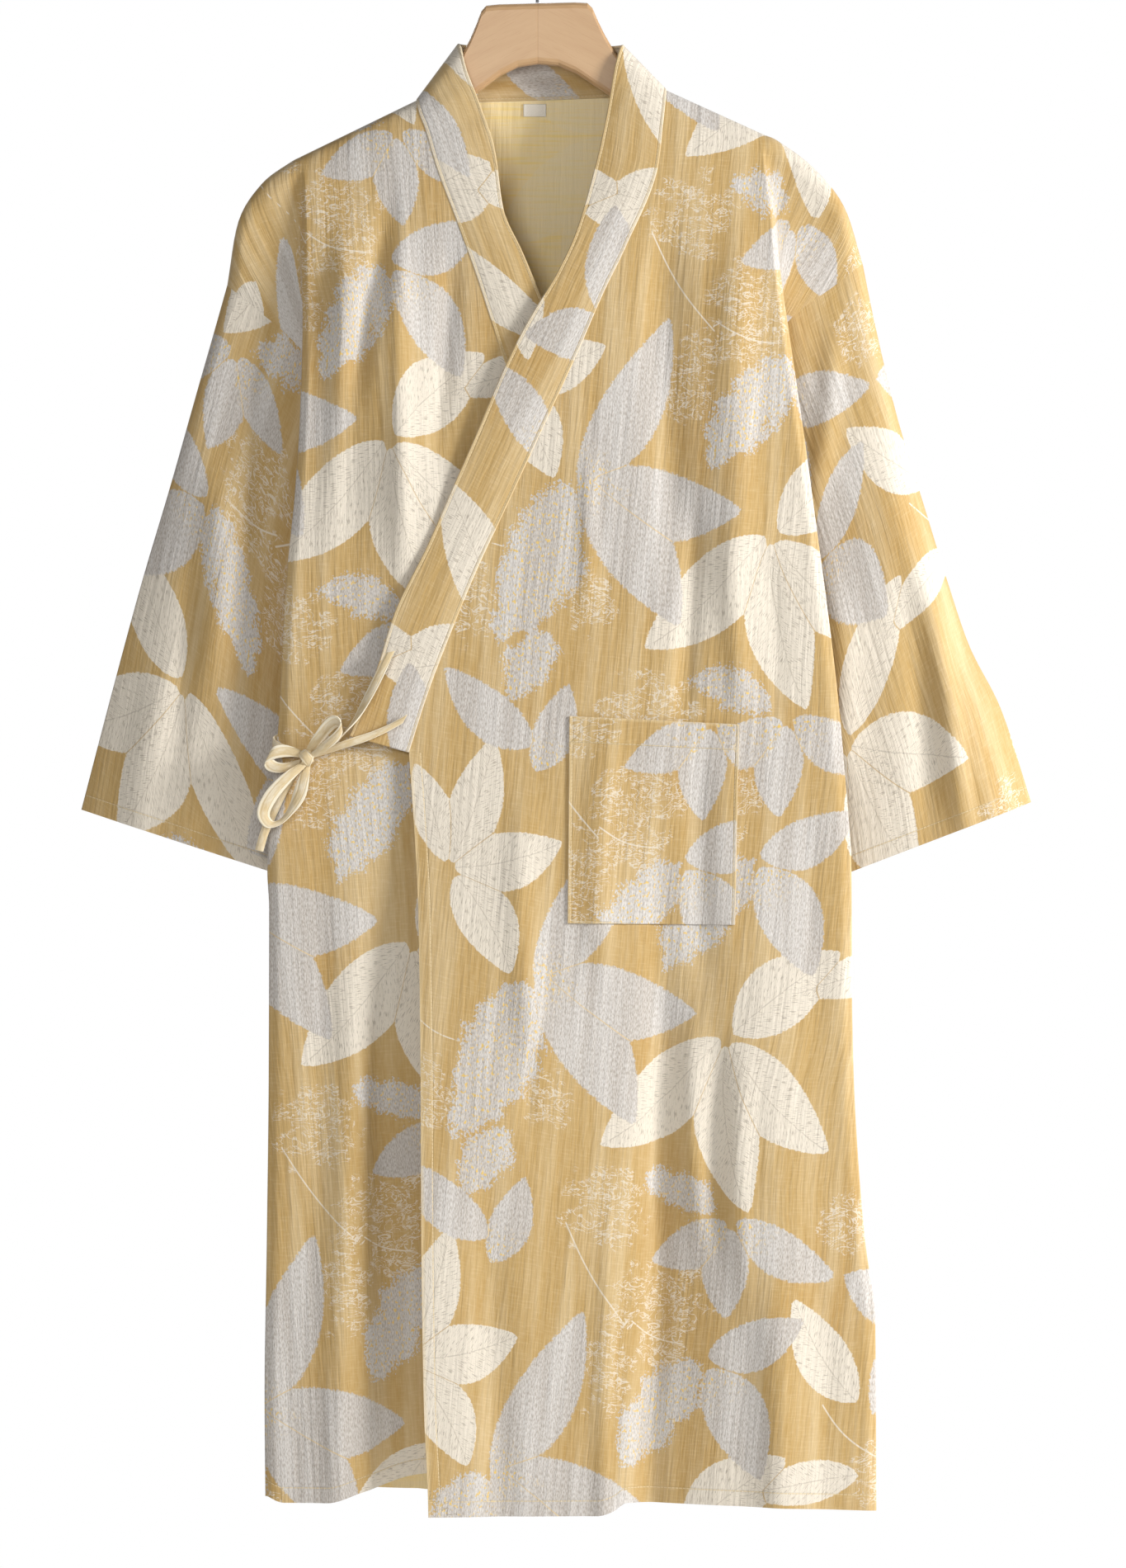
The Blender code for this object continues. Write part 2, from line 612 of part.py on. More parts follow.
def label_rows():
    panel = surface([back_row(d) for d in DROPS])
    grid = []
    for v in (0.5, -0.5):
        line = []
        for u in (-0.5, 0, 0.5):
            x, z = LABEL_AT[0] + u * LABEL[0], LABEL_AT[1] + v * LABEL[1]
            hit = panel.ray_cast(Vector((x, 0.0, z)), Vector((0, 1, 0)))[0]
            line.append((x, hit.y - CLOTH / 2 - LABEL[2] / 2 - 0.5, z))
        grid.append(line)
    return grid


root = bpy.data.objects.new("kimono_on_hanger", None)
bpy.context.scene.collection.objects.link(root)


def cloth(name, rows, colour, thickness=CLOTH, closed=False):
    obj = sheet(name, rows, material(name + "_cloth", colour, 0.9), thickness, closed)
    obj.parent = root
    return obj


cloth("back", [back_row(d) for d in DROPS], (0.60, 0.43, 0.20))
cloth("front_right", [front_row(RIGHT, d) for d in DROPS], (0.58, 0.41, 0.18))
cloth("front_left", [front_row(LEFT, d) for d in DROPS], (0.64, 0.46, 0.22))
cloth("collar", collar_rows(), (0.66, 0.50, 0.27), BAND)
cloth("sleeve_right", sleeve_rows(RIGHT), (0.55, 0.37, 0.15), closed=True)
cloth("sleeve_left", sleeve_rows(LEFT), (0.61, 0.44, 0.21), closed=True)
cloth("pocket", pocket_rows(), (0.62, 0.47, 0.27), 1.4)
cloth("label", label_rows(), (0.86, 0.83, 0.76), LABEL[2])
for name, table in (("tie_front", TIE_FRONT), ("tie_edge", TIE_EDGE), ("tie_side", TIE_SIDE),
                    ("bow_loop_up", LOOP_UP), ("bow_loop_side", LOOP_SIDE),
                    ("bow_loop_low", LOOP_LOW), ("bow_tail", TAIL)):
    cloth(name, ribbon_rows(table), (0.74, 0.62, 0.42), RIBBON)

knot = bmesh.new()
bmesh.ops.create_uvsphere(knot, u_segments=12, v_segments=8, radius=1.0,
                          matrix=Matrix.Diagonal((*[r * MM for r in KNOT_RADII], 1.0)))
knot_obj = add_object("bow_knot", knot, material("bow_knot_cloth", (0.72, 0.60, 0.41), 0.9))
knot_obj.location = Vector(KNOT) * MM
knot_obj.parent = root

hanger_root = bpy.data.objects.new("hanger_level", None)
bpy.context.scene.collection.objects.link(hanger_root)
hanger_root.parent = root
hanger_root.location = (0, 0, -0.1)
hanger_root.rotation_euler = (0, math.radians(-BOARD_TILT), 0)
half_board = [board_ring(*row) for row in BOARD]
other_half = [[(-x, y, z) for x, y, z in ring] for ring in half_board[:0:-1]]
board = tube("hanger", other_half + half_board, material("beech", (0.66, 0.43, 0.27), 0.45))
board.parent = hanger_root
board.location = (0, 0, 0.1)
hook = tube("hook", hook_rings(), material("steel_wire", (0.62, 0.62, 0.63), 0.3, 1.0))
hook.parent = root
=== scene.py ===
"""A cotton kimono robe in a woven leaf print, tied at its side, on a beech hanger."""
import math

import bpy
import numpy as np
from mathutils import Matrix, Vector
from mathutils.bvhtree import BVHTree


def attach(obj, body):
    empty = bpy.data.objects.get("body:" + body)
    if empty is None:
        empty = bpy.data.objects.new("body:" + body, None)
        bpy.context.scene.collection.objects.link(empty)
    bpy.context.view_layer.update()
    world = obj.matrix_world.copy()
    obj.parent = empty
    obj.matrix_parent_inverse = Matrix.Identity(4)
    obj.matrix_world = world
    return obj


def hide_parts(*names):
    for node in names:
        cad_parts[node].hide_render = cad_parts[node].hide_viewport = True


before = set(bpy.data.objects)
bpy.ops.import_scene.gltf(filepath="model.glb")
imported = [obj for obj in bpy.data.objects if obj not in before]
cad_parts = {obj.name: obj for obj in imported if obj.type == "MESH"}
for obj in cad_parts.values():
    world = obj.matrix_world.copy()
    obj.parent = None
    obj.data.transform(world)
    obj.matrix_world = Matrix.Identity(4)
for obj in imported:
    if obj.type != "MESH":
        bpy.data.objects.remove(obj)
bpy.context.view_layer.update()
MM = 0.001

# Studio. A white room with a soft key light on the wearer's left, a fill from the front, two lights
# behind, and a pale round floor below the hem. The camera looks straight at the front.
CAMERA_AIM = (0.0198, -0.02, -0.6775)
CAMERA_DISTANCE = 7.0
PICTURE_HEIGHT = 1.235      # metres of the garment's plane that the picture takes in
SENSOR = 36.0
FLOOR_LEVEL = -1.75
FLOOR_RADIUS = 2.4
ROOM_SEEN = 1.0             # brightness of the room as seen, and as it lights the cloth
ROOM_LIGHT = 0.15
LIGHTS = [("key", (2.6, -1.3, 0.1), 0.8, 91.0),
          ("fill", (-0.7, -3.2, 0.1), 1.2, 33.0),
          ("rim", (3.1, 0.75, -0.4), 1.2, 60.0),
          ("back_light", (-0.6, 2.8, 0.2), 2.0, 40.0)]

scene = bpy.context.scene
scene.view_settings.view_transform = "Standard"
camera = bpy.data.objects.new("camera", bpy.data.cameras.new("camera"))
camera.data.sensor_width = SENSOR
camera.data.lens = SENSOR * CAMERA_DISTANCE / PICTURE_HEIGHT
camera.location = (CAMERA_AIM[0], CAMERA_AIM[1] - CAMERA_DISTANCE, CAMERA_AIM[2])
camera.rotation_euler = (math.radians(90), 0, 0)
scene.collection.objects.link(camera)
scene.camera = camera
for name, place, size, power in LIGHTS:
    lamp = bpy.data.lights.new(name, "AREA")
    lamp.size = size
    lamp.energy = power
    light = bpy.data.objects.new(name, lamp)
    light.location = place
    light.rotation_euler = (Vector(CAMERA_AIM) - Vector(place)).to_track_quat("-Z", "Y").to_euler()
    scene.collection.objects.link(light)


class Socket:
    """One output of a shader node. Sums on it add Math nodes, and node() adds any other kind."""

    def __init__(self, tree, link):
        self.tree = tree
        self.link = link

    def node(self, kind, settings=None, inputs=None, output=0):
        made = self.tree.nodes.new(kind)
        for key, value in (settings or {}).items():
            setattr(made, key, value)
        for key, value in (inputs or {}).items():
            if isinstance(value, Socket):
                self.tree.links.new(value.link, made.inputs[key])
            else:
                made.inputs[key].default_value = value
        return Socket(self.tree, made.outputs[output])

    def math(self, operation, *values):
        return self.node("ShaderNodeMath", {"operation": operation}, dict(enumerate(values)))

    def __add__(self, other):
        return self.math("ADD", self, other)

    def __sub__(self, other):
        return self.math("SUBTRACT", self, other)

    def __rsub__(self, other):
        return self.math("SUBTRACT", other, self)

    def __mul__(self, other):
        return self.math("MULTIPLY", self, other)

    def __abs__(self):
        return self.math("ABSOLUTE", self)

    def __or__(self, other):
        return self.math("MAXIMUM", self, other)

    __radd__ = __add__
    __rmul__ = __mul__
    __ror__ = __or__

    def step(self, low, high):
        """0 below low, 1 above high, smooth between them."""
        return self.node("ShaderNodeMapRange", {"interpolation_type": "SMOOTHSTEP"},
                         {0: self, 1: low, 2: high})

    def paint(self, under, over):
        """One colour laid over another, as a mask says."""
        return self.node("ShaderNodeMix", {"data_type": "RGBA"}, {0: self, 6: under, 7: over}, 2)

    def part(self, axis):
        return self.node("ShaderNodeSeparateXYZ", {}, {0: self}, axis)

    def noise(self, across, along, depth=1.0, detail=2.0, curl=0.0):
        """Cloud noise with so many cells to the metre each way, its lines curled if wanted."""
        scaled = self.node("ShaderNodeVectorMath", {"operation": "MULTIPLY"},
                           {0: self, 1: (across, along, depth)})
        return self.node("ShaderNodeTexNoise", {}, {"Vector": scaled, "Scale": 1.0, "Detail": detail,
                                                    "Distortion": curl})


def ink(red, green, blue):
    """A colour in screen values, 0 to 255, as the shader's linear one."""
    levels = [((c / 255 + 0.055) / 1.055) ** 2.4 for c in (red, green, blue)]
    return (*levels, 1.0)


def finish(name, roughness, **constants):
    """A new material, its shader, and an empty start socket to add its nodes from."""
    mat = bpy.data.materials.new(name)
    mat.use_nodes = True
    shader = mat.node_tree.nodes["Principled BSDF"]
    shader.inputs["Roughness"].default_value = roughness
    for key, value in constants.items():
        shader.inputs[key.replace("_", " ")].default_value = value
    start = Socket(mat.node_tree, None)
    return mat, shader, start


def coat(start, shader, colour, height=None):
    """Lead a colour, and a bump from a height in millimetres, to a shader."""
    start.tree.links.new(colour.link, shader.inputs["Base Color"])
    if height is not None:
        bump = start.node("ShaderNodeBump", {}, {"Height": height, "Distance": MM, "Strength": 1.0})
        start.tree.links.new(bump.link, shader.inputs["Normal"])


room = bpy.data.worlds.new("white_room")
room.use_nodes = True
scene.world = room
room_start = Socket(room.node_tree, None)
seen = room_start.node("ShaderNodeLightPath")
lit = room_start.node("ShaderNodeBackground", {}, {"Color": (1, 1, 1, 1), "Strength": ROOM_LIGHT})
shown = room_start.node("ShaderNodeBackground", {}, {"Color": (1, 1, 1, 1), "Strength": ROOM_SEEN})
both = room_start.node("ShaderNodeMixShader", {}, {0: seen, 1: lit, 2: shown})
room.node_tree.links.new(both.link, room.node_tree.nodes["World Output"].inputs["Surface"])

PAPER = ink(243, 242, 240)
PAPER_DARK = ink(236, 235, 232)
bpy.ops.object.select_all(action="DESELECT")
bpy.ops.mesh.primitive_circle_add(vertices=160, radius=FLOOR_RADIUS, fill_type="NGON",
                                  location=(0, 0, FLOOR_LEVEL))
floor = bpy.context.object
floor.name = "floor"
paper, paper_shader, paper_start = finish("white_paper", 0.8)
grain = paper_start.node("ShaderNodeTexCoord", {}, {}, 3).noise(60, 60, 60)
paper_shade = grain.step(0.3, 0.7).paint(PAPER_DARK, PAPER)
coat(paper_start, paper_shader, paper_shade)
floor.data.materials.append(paper)

# Printed cotton. Double gauze woven with a mustard ground, sprays of cream and of lilac leaves,
# scratchy cream patches and thin stems. The leaves are charted on one repeat of the cloth,
# in millimetres across and down: base, tip, half width, and how far the middle bows.
REPEAT = np.array([560.0, 395.0])
LEAVES = {
    "cream_a": [(186, 42, 95, 134, 29, -5),
                (195, 46, 287, 132, 25, 5),
                (-37, 333, 45, 295, 23, 4),
                (-44, 330, -74, 257, 17, 2),
                (326, 328, 265, 245, 20, -4),
                (333, 385, 242, 401, 17, 3),
                (374, 68, 338, 169, 25, -5),
                (385, 65, 457, 72, 21, 4)],
    "cream_b": [(191, 48, 227, 179, 27, 6),
                (196, 38, 273, -25, 28, -4),
                (-39, 330, -15, 221, 20, 3),
                (-35, 339, 14, 407, 24, -5),
                (381, 72, 429, 169, 25, 5),
                (378, 60, 379, -32, 23, -4)],
    "lilac_a": [(34, 14, 94, -129, 24, 7),
                (35, 6, 121, 114, 29, -6),
                (19, 242, 39, 169, 16, 3),
                (208, 187, 147, 221, 18, -4),
                (217, 185, 298, 230, 18, 5),
                (203, 302, 254, 388, 24, -5),
                (364, 270, 304, 228, 20, 4),
                (371, 277, 418, 344, 23, -4)],
    "lilac_b": [(40, 6, 165, 23, 28, 7),
                (16, 222, -58, 178, 20, -5),
                (211, 191, 213, 263, 19, 3),
                (202, 293, 276, 262, 20, 5),
                (364, 277, 340, 339, 21, -3),
                (373, 270, 436, 254, 20, 4)],
    "rough": [(26, 14, -19, 148, 29, -6),
              (22, 133, -6, 192, 16, 3),
              (196, 177, 135, 154, 14, 4),
              (196, 298, 138, 356, 22, -4),
              (180, 322, 135, 382, 21, 3),
              (-103, 188, -137, 266, 20, 4)]}

# Scratchy patches: middle, and half size across and down. Stems: from end to end.
SCRATCHES = [(50, 101, 20, 26),
             (105, 182, 36, 32),
             (118, 310, 22, 39),
             (160, 286, 26, 18),
             (-41, 120, 17, 32),
             (158, 250, 39, 32),
             (357, 384, 32, 26),
             (441, 306, 26, 32),
             (307, 188, 23, 26)]
STEMS = [(74, 199, 130, 275),
         (133, 269, 178, 284),
         (-60, 60, -22, 74),
         (300, 330, 345, 372),
         (420, 210, 452, 262)]

GOLD = ink(191, 157, 97)
GOLD_DEEP = ink(184, 144, 79)
GOLD_PALE = ink(218, 194, 150)
CREAM = ink(228, 218, 201)
CREAM_FLECK = ink(166, 154, 138)
LILAC = ink(219, 214, 208)
LILAC_DEEP = ink(178, 168, 157)
SPECKLE = ink(232, 196, 104)
# Thread colour, also used for the painted highlight along folded edges.
THREAD_AND_EDGE_HIGHLIGHT = ink(226, 204, 160)
REVERSE = ink(253, 231, 180)
REVERSE_STREAK = ink(253, 227, 152)
REVERSE_LEAF = ink(247, 235, 204)


def from_repeat(cut, centre):
    """Points of the cloth as seen from the nearest repeat of a motif's middle."""
    return (cut - centre + REPEAT / 2) % REPEAT - REPEAT / 2


def leaf_field(cut, leaves):
    """For each point: how far it lies inside a leaf's edge, then along and across that leaf."""
    best = np.tile([-99.0, 0.0, 0.0], (len(cut), 1))
    for u0, v0, u1, v1, half, bow in leaves:
        axis = np.array([u1 - u0, v1 - v0], float)
        length = np.linalg.norm(axis)
        way = axis / length
        place = from_repeat(cut, np.array([u0 + u1, v0 + v1]) / 2) + axis / 2
        share = place @ way / length
        across = place @ np.array([-way[1], way[0]]) - bow * 4 * share * (1 - share)
        inside = np.clip(share, 0, 1)
        width = half * np.sin(np.pi * inside ** 0.85) ** 0.8
        beyond = length * np.maximum(np.maximum(-share, share - 1), 0)
        edge = width - np.abs(across) - beyond
        nearer = edge > best[:, 0]
        best[nearer] = np.column_stack([edge, share * length, across])[nearer]
    return best


def scratch_field(cut):
    """For each point: how deep in a scratchy patch, and its signed and true distance to a stem."""
    found = np.tile([-9.0, 99.0, 99.0], (len(cut), 1))
    for u, v, half_u, half_v in SCRATCHES:
        place = from_repeat(cut, np.array([u, v])) / [half_u, half_v]
        found[:, 0] = np.maximum(found[:, 0], 1 - (place ** 2).sum(1))
    for u0, v0, u1, v1 in STEMS:
        axis = np.array([u1 - u0, v1 - v0], float)
        length = np.linalg.norm(axis)
        way = axis / length
        place = from_repeat(cut, np.array([u0 + u1, v0 + v1]) / 2) + axis / 2
        along = place @ way
        side = place @ np.array([-way[1], way[0]]) - 4 * np.sin(np.pi * along / length)
        beyond = np.maximum(np.maximum(-along, along - length), 0)
        true = np.hypot(side, beyond)
        nearer = true < found[:, 2]
        found[nearer, 1:] = np.column_stack([side, true])[nearer]
    return found


def vein_dashes(start, leaf):
    """Broken grey strokes that lean out from a leaf's midrib, and the midrib itself."""
    along, side = leaf.part(1), abs(leaf.part(2))
    vein = along - side * 1.1
    run = along + side * 0.9
    leaning = start.node("ShaderNodeCombineXYZ", {}, {0: vein, 1: run, 2: leaf.part(2).step(-0.1, 0.1)})
    strokes = leaning.noise(1.1, 0.12, 30, detail=4).step(0.55, 0.64)
    midrib = side.step(0.7, 0.2) * leaning.noise(0.1, 0.1, 1).step(0.42, 0.5)
    return strokes * 0.7 | midrib * 0.5


def printed_cotton(name, reverse=False):
    """The print on the right side of the cloth, or its pale ghost on the reverse."""
    mat, shader, start = finish(name, 0.85, Sheen_Weight=0.15, Sheen_Roughness=0.5)
    cut = start.node("ShaderNodeUVMap", {"uv_map": "cut"})

    def field(which):
        return start.node("ShaderNodeAttribute", {"attribute_name": which}, {}, 1)

    wobble = cut.noise(420, 420, detail=3) - 0.5
    crepe = cut.noise(700, 60)
    crinkle = cut.noise(300, 16)
    puckers = cut.noise(60, 4)
    weave = cut.noise(1500, 1500, detail=1)
    slub = cut.noise(90, 700)
    cream_a, cream_b = field("cream_a"), field("cream_b")
    edge_a, edge_b = cream_a.part(0), cream_b.part(0)
    cream = ((edge_a | edge_b) + wobble * 3.4).step(-0.5, 0.6)
    gap = abs(edge_a - edge_b).step(0.9, 0.3) * (edge_a | edge_b).step(0.0, 0.4)
    lilac_a, lilac_b, rough = field("lilac_a"), field("lilac_b"), field("rough")
    ragged = cut.noise(520, 420, detail=4) - 0.5
    clouds = cut.noise(60, 60) - 0.5
    smooth_lilac = (lilac_a.part(0) | lilac_b.part(0)) + wobble * 6.0
    rough_lilac = rough.part(0) + 1.0 + clouds * 26.0 + ragged * 30.0
    lilac = (smooth_lilac | rough_lilac).step(-0.8, 0.8)

    if reverse:
        streak = cut.noise(24, 420).step(0.42, 0.7)
        ground = streak.paint(REVERSE, REVERSE_STREAK)
        colour = ((cream | lilac) * 0.4 * weave.step(0.2, 0.6)).paint(ground, REVERSE_LEAF)
    else:
        # Paler in streaks of slub yarn, and paler on the crests of the crepe and puckers that the bump
        # raises: partly a painted highlight.
        slub_and_crinkle_highlight = crepe.step(0.3, 0.75) * 0.25 + slub.step(0.45, 0.8) * 0.25 + puckers.step(0.42, 0.68) * 0.5
        tinge = cut.noise(11, 7, detail=1).step(0.5, 0.75) * 0.5
        ground = slub_and_crinkle_highlight.paint(tinge.paint(GOLD, GOLD_DEEP), GOLD_PALE)
        scratch = field("scratch")
        lines = abs(cut.noise(85, 120, curl=1.6) - 0.5).step(0.03, 0.012)
        fine = abs(cut.noise(60, 170, curl=1.0) - 0.46).step(0.022, 0.009)
        patch = (scratch.part(0) + (cut.noise(55, 70, detail=3) - 0.5) * 4.5).step(-0.1, 0.3)
        stem = abs(scratch.part(1)).step(0.8, 0.35) * scratch.part(2).step(3.0, 2.0)
        ground = ((lines | fine) * patch * 0.7 | stem * 0.8).paint(ground, CREAM)
        dashes = [vein_dashes(start, leaf) * leaf.part(0).step(0.0, 1.0) for leaf in (cream_a, cream_b)]
        leaf = (dashes[0] | dashes[1] | weave.step(0.6, 0.8) * 0.25).paint(CREAM, CREAM_FLECK)
        colour = cream.paint(ground, leaf)
        colour = (gap * 0.7).paint(colour, GOLD)
        heather = cut.noise(1300, 340, detail=3)
        # Grey in streaks of heather yarn, and greyer in the troughs of the puckers that the bump sinks:
        # partly painted shade.
        heather_and_crinkle_shade = heather.step(0.4, 0.66) * 0.75 + puckers.step(0.62, 0.4) * 0.35
        parting = abs(lilac_a.part(0) - lilac_b.part(0)).step(1.1, 0.4)
        parting = parting * (lilac_a.part(0) | lilac_b.part(0)).step(0.0, 0.4)
        petal = parting.paint(heather_and_crinkle_shade.paint(LILAC, LILAC_DEEP), GOLD_PALE)
        near = lilac_a.part(1).step(40, 6) * lilac_a.part(0).step(-2, 3)
        heart = near | rough.part(0).step(-4, 6) * 0.9
        dots = cut.noise(420, 300, detail=2).step(0.57, 0.65)
        petal = (dots * heart).paint(petal, SPECKLE)
        colour = lilac.paint(colour, petal)
        sewing_and_edge_highlight = field("sewing_and_edge_highlight")
        beat = sewing_and_edge_highlight.part(1) * 0.33
        dash = abs(beat.math("FRACT", beat) - 0.5).step(0.44, 0.38)
        stitch = abs(sewing_and_edge_highlight.part(0)).step(0.55, 0.35) * dash
        # Stitches in thread colour, and a painted highlight along folded edges from the field's third part,
        # in the same colour.
        colour = (stitch * 0.7 | sewing_and_edge_highlight.part(2) * 0.6).paint(colour, THREAD_AND_EDGE_HIGHLIGHT)
    height = crepe * 0.25 + crinkle * 0.8 + puckers * 1.6 + weave * 0.08
    if not reverse:
        hem = sewing_and_edge_highlight.part(0).step(0.6, -0.2)
        height = height + stitch * 0.15 - abs(sewing_and_edge_highlight.part(0)).step(1.4, 0.0) * 0.25 + hem * 0.3
    coat(start, shader, colour, height)
    return mat


cotton = printed_cotton("printed_cotton")
cotton_reverse = printed_cotton("printed_cotton_reverse", reverse=True)
FAR_FROM_SEWING = np.array([99.0, 0.0, 0.0])


def grid(rows, cols, closed=False):
    """Quads of a grid of points, its last column joined to the first where it is a tube."""
    index = np.arange(rows * cols).reshape(rows, cols)
    if closed:
        index = np.column_stack([index, index[:, 0]])
    return np.stack([index[:-1, :-1], index[:-1, 1:], index[1:, 1:], index[1:, :-1]], -1).reshape(-1, 4)


def sheet_piece(name, points, quads, cut, corners, finishes, thick):
    """A smooth sheet that carries its cut as a UV map, with its thickness about the middle."""
    mesh = bpy.data.meshes.new(name)
    mesh.from_pydata((points.reshape(-1, 3) * MM).tolist(), [], quads.tolist())
    layer = mesh.uv_layers.new(name="cut")
    layer.uv.foreach_set("vector", (cut.reshape(-1, 2)[corners.ravel()] * MM).astype(np.float32).ravel())
    mesh.polygons.foreach_set("use_smooth", np.ones(len(mesh.polygons), bool))
    for mat in finishes:
        mesh.materials.append(mat)
    piece = bpy.data.objects.new(name, mesh)
    scene.collection.objects.link(piece)
    solid = piece.modifiers.new("Thickness", "SOLIDIFY")
    solid.thickness = thick * MM
    solid.offset = 0.0
    return piece


def round_edge(piece, width, corner):
    """Round the folded edges of a piece."""
    bevel = piece.modifiers.new("Folded edge", "BEVEL")
    bevel.width = width * MM
    bevel.segments = 2
    bevel.limit_method = "ANGLE"
    bevel.angle_limit = math.radians(corner)


def cloth(name, points, cut, node, sewing_and_edge_highlight=None, flip=False, closed=False,
          thick=1.2, rounded=0.0):
    """A cut piece on its grid of points, rows down the grain, with the print and its thickness."""
    rows, cols = points.shape[:2]
    quads, corners = grid(rows, cols, closed), grid(rows, cut.shape[1])
    if flip:
        quads, corners = quads[:, ::-1], corners[:, ::-1]
    piece = sheet_piece(name, points, quads, cut, corners, (cotton, cotton_reverse), thick)
    mesh = piece.data
    flat_cut = cut.reshape(-1, 2)
    at = corners.ravel()
    fields = {which: leaf_field(flat_cut, leaves) for which, leaves in LEAVES.items()}
    fields["scratch"] = scratch_field(flat_cut)
    if sewing_and_edge_highlight is None:
        sewing_and_edge_highlight = np.tile(FAR_FROM_SEWING, (len(flat_cut), 1))
    fields["sewing_and_edge_highlight"] = sewing_and_edge_highlight.reshape(-1, 3)
    for which, values in fields.items():
        attribute = mesh.attributes.new(which, "FLOAT_VECTOR", "CORNER")
        attribute.data.foreach_set("vector", values[at].astype(np.float32).ravel())
    edge_of = np.zeros(len(mesh.loops), np.int32)
    mesh.loops.foreach_get("edge_index", edge_of)
    border = np.bincount(edge_of, minlength=len(mesh.edges)) == 1
    mesh.attributes.new("sharp_edge", "BOOLEAN", "EDGE").data.foreach_set("value", border)
    solid = piece.modifiers["Thickness"]
    solid.use_even_offset = True
    solid.material_offset = 0 if rounded else 1
    if rounded:
        round_edge(piece, rounded, 60)
    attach(piece, "root")
    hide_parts(node)


# Back. One piece from the shoulder seams and the back neck to the hem, sewn to both fronts down
# the sides. It hangs from the hanger's arms. Shared here: the garment's sizes, the two sides'
# seams and folds, and the rows that both fronts use as well.
UNDERARM_DROP = 310.0
HEM_DROP = 1121.0
LENS = (9.5, 7.0)           # how far the armhole opens to the front and to the back
LAP = 6.5                   # the overlap lies this far in front of the under layer
HEM_WIDTH = 12.0
NECK_COLS = 60              # columns of the back behind the neck
ROW_LEVELS = [0, 1.2, 4.5, 10, 18, 32, 55, 85, 118, 150, 185, 225, 266, 310, 360, 412, 466, 523, 580,
              640, 710, 790, 870, 950, 1035, 1121]

# How far the cloth stands in front of and behind the seams, by drop below the shoulder.
DEPTH = [(0, 0.0, 0.0), (1.2, 5.0, 5.0), (4.5, 9.5, 9.5), (10, 12.5, 12.5), (18, 15.0, 14.5),
         (32, 18.0, 16.5), (60, 22.0, 18.5), (100, 26.0, 20.0), (150, 30.0, 22.0), (220, 34.0, 24.5),
         (310, 38.0, 28.0), (450, 43.0, 31.0), (650, 47.0, 33.0), (1121, 50.0, 35.0)]

# The shoulder seam beyond the hanger's tip, x and z.
RIDGE_LEFT = [(178.0, -165.0), (190.0, -170.5), (216.0, -190.0), (241.0, -221.0), (256.0, -267.0)]
RIDGE_RIGHT = [(-186.0, -182.0), (-197.0, -188.0), (-218.0, -204.0), (-236.0, -233.0),
               (-245.0, -284.0)]

# Side fold of each front, z and outermost x.
FOLD_LEFT = [(-167, 179.0), (-222, 186.0), (-275, 190.5), (-340, 199.0), (-405, 208.0), (-470, 216.5),
             (-535, 225.0), (-600, 232.7), (-671, 239.0), (-747, 244.0), (-840, 244.5), (-905, 246.0),
             (-970, 249.5), (-1035, 255.0), (-1100, 263.0), (-1250, 264.0)]
FOLD_RIGHT = [(-183, -187.0), (-255, -186.0), (-320, -184.6), (-385, -186.0), (-450, -190.0),
              (-515, -196.0), (-580, -199.5), (-625, -201.5), (-677, -206.0), (-746, -210.0),
              (-775, -208.6), (-905, -209.0), (-1035, -210.6), (-1165, -212.5), (-1250, -212.0)]

# Armhole seam and, below the underarm, side seam, z and x.
SEAM_LEFT = [(-267, 256.0), (-283, 236.0), (-310, 200.0), (-350, 170.0), (-395, 154.0), (-440, 150.0),
             (-600, 152.0), (-775, 158.0), (-1000, 182.0), (-1260, 203.0)]
SEAM_RIGHT = [(-284, -245.0), (-300, -226.0), (-325, -196.0), (-360, -168.0), (-400, -153.0),
              (-443, -148.0), (-600, -128.0), (-775, -114.0), (-1000, -122.0), (-1260, -138.0)]

# Collar band: z and x on the front's edge, then x, y and z of the free edge.
BAND_LEFT = [(-130.0, 101.0, 66.0, 0.0, -94.0), (-131.2, 101.0, 64.5, -7.0, -97.0),
             (-134.5, 100.9, 62.5, -11.0, -104.0), (-140.0, 100.6, 60.5, -12.5, -112.0),
             (-160.0, 98.5, 55.0, -15.0, -145.0), (-190.0, 95.0, 47.0, -19.0, -183.0),
             (-258.0, 68.0, 30.0, -27.0, -243.0), (-291.0, 52.0, 16.0, -32.0, -274.0),
             (-335.0, 33.0, -9.0, -36.0, -316.0), (-370.0, 17.0, -26.0, -39.0, -350.0),
             (-428.5, -10.0, -51.0, -43.0, -409.0), (-469.5, -29.0, -69.0, -45.0, -450.0),
             (-509.0, -47.5, -87.0, -47.0, -491.0), (-560.0, -68.5, -112.0, -49.0, -542.0),
             (-606.0, -86.0, -127.0, -51.0, -589.0), (-653.0, -101.0, -148.0, -53.5, -640.0)]
BAND_RIGHT = [(-138.0, -95.5, -62.0, 0.0, -93.0), (-139.2, -95.5, -60.5, -7.0, -96.0),
              (-142.4, -95.0, -59.0, -11.0, -103.0), (-147.9, -94.0, -56.5, -12.5, -113.0),
              (-160.0, -89.5, -47.0, -14.5, -138.0), (-190.0, -80.6, -34.0, -18.0, -177.0),
              (-239.0, -62.4, -27.0, -23.0, -225.0), (-275.0, -49.4, -12.0, -26.5, -259.0),
              (-319.0, -35.0, 6.0, -30.5, -302.0), (-343.0, -27.0, 14.0, -32.0, -322.0),
              (-440.0, 20.0, 61.0, -37.0, -419.0), (-540.0, 70.0, 111.0, -41.0, -519.0),
              (-653.0, 125.0, 166.0, -43.5, -634.0)]
BAND_END = -653.0

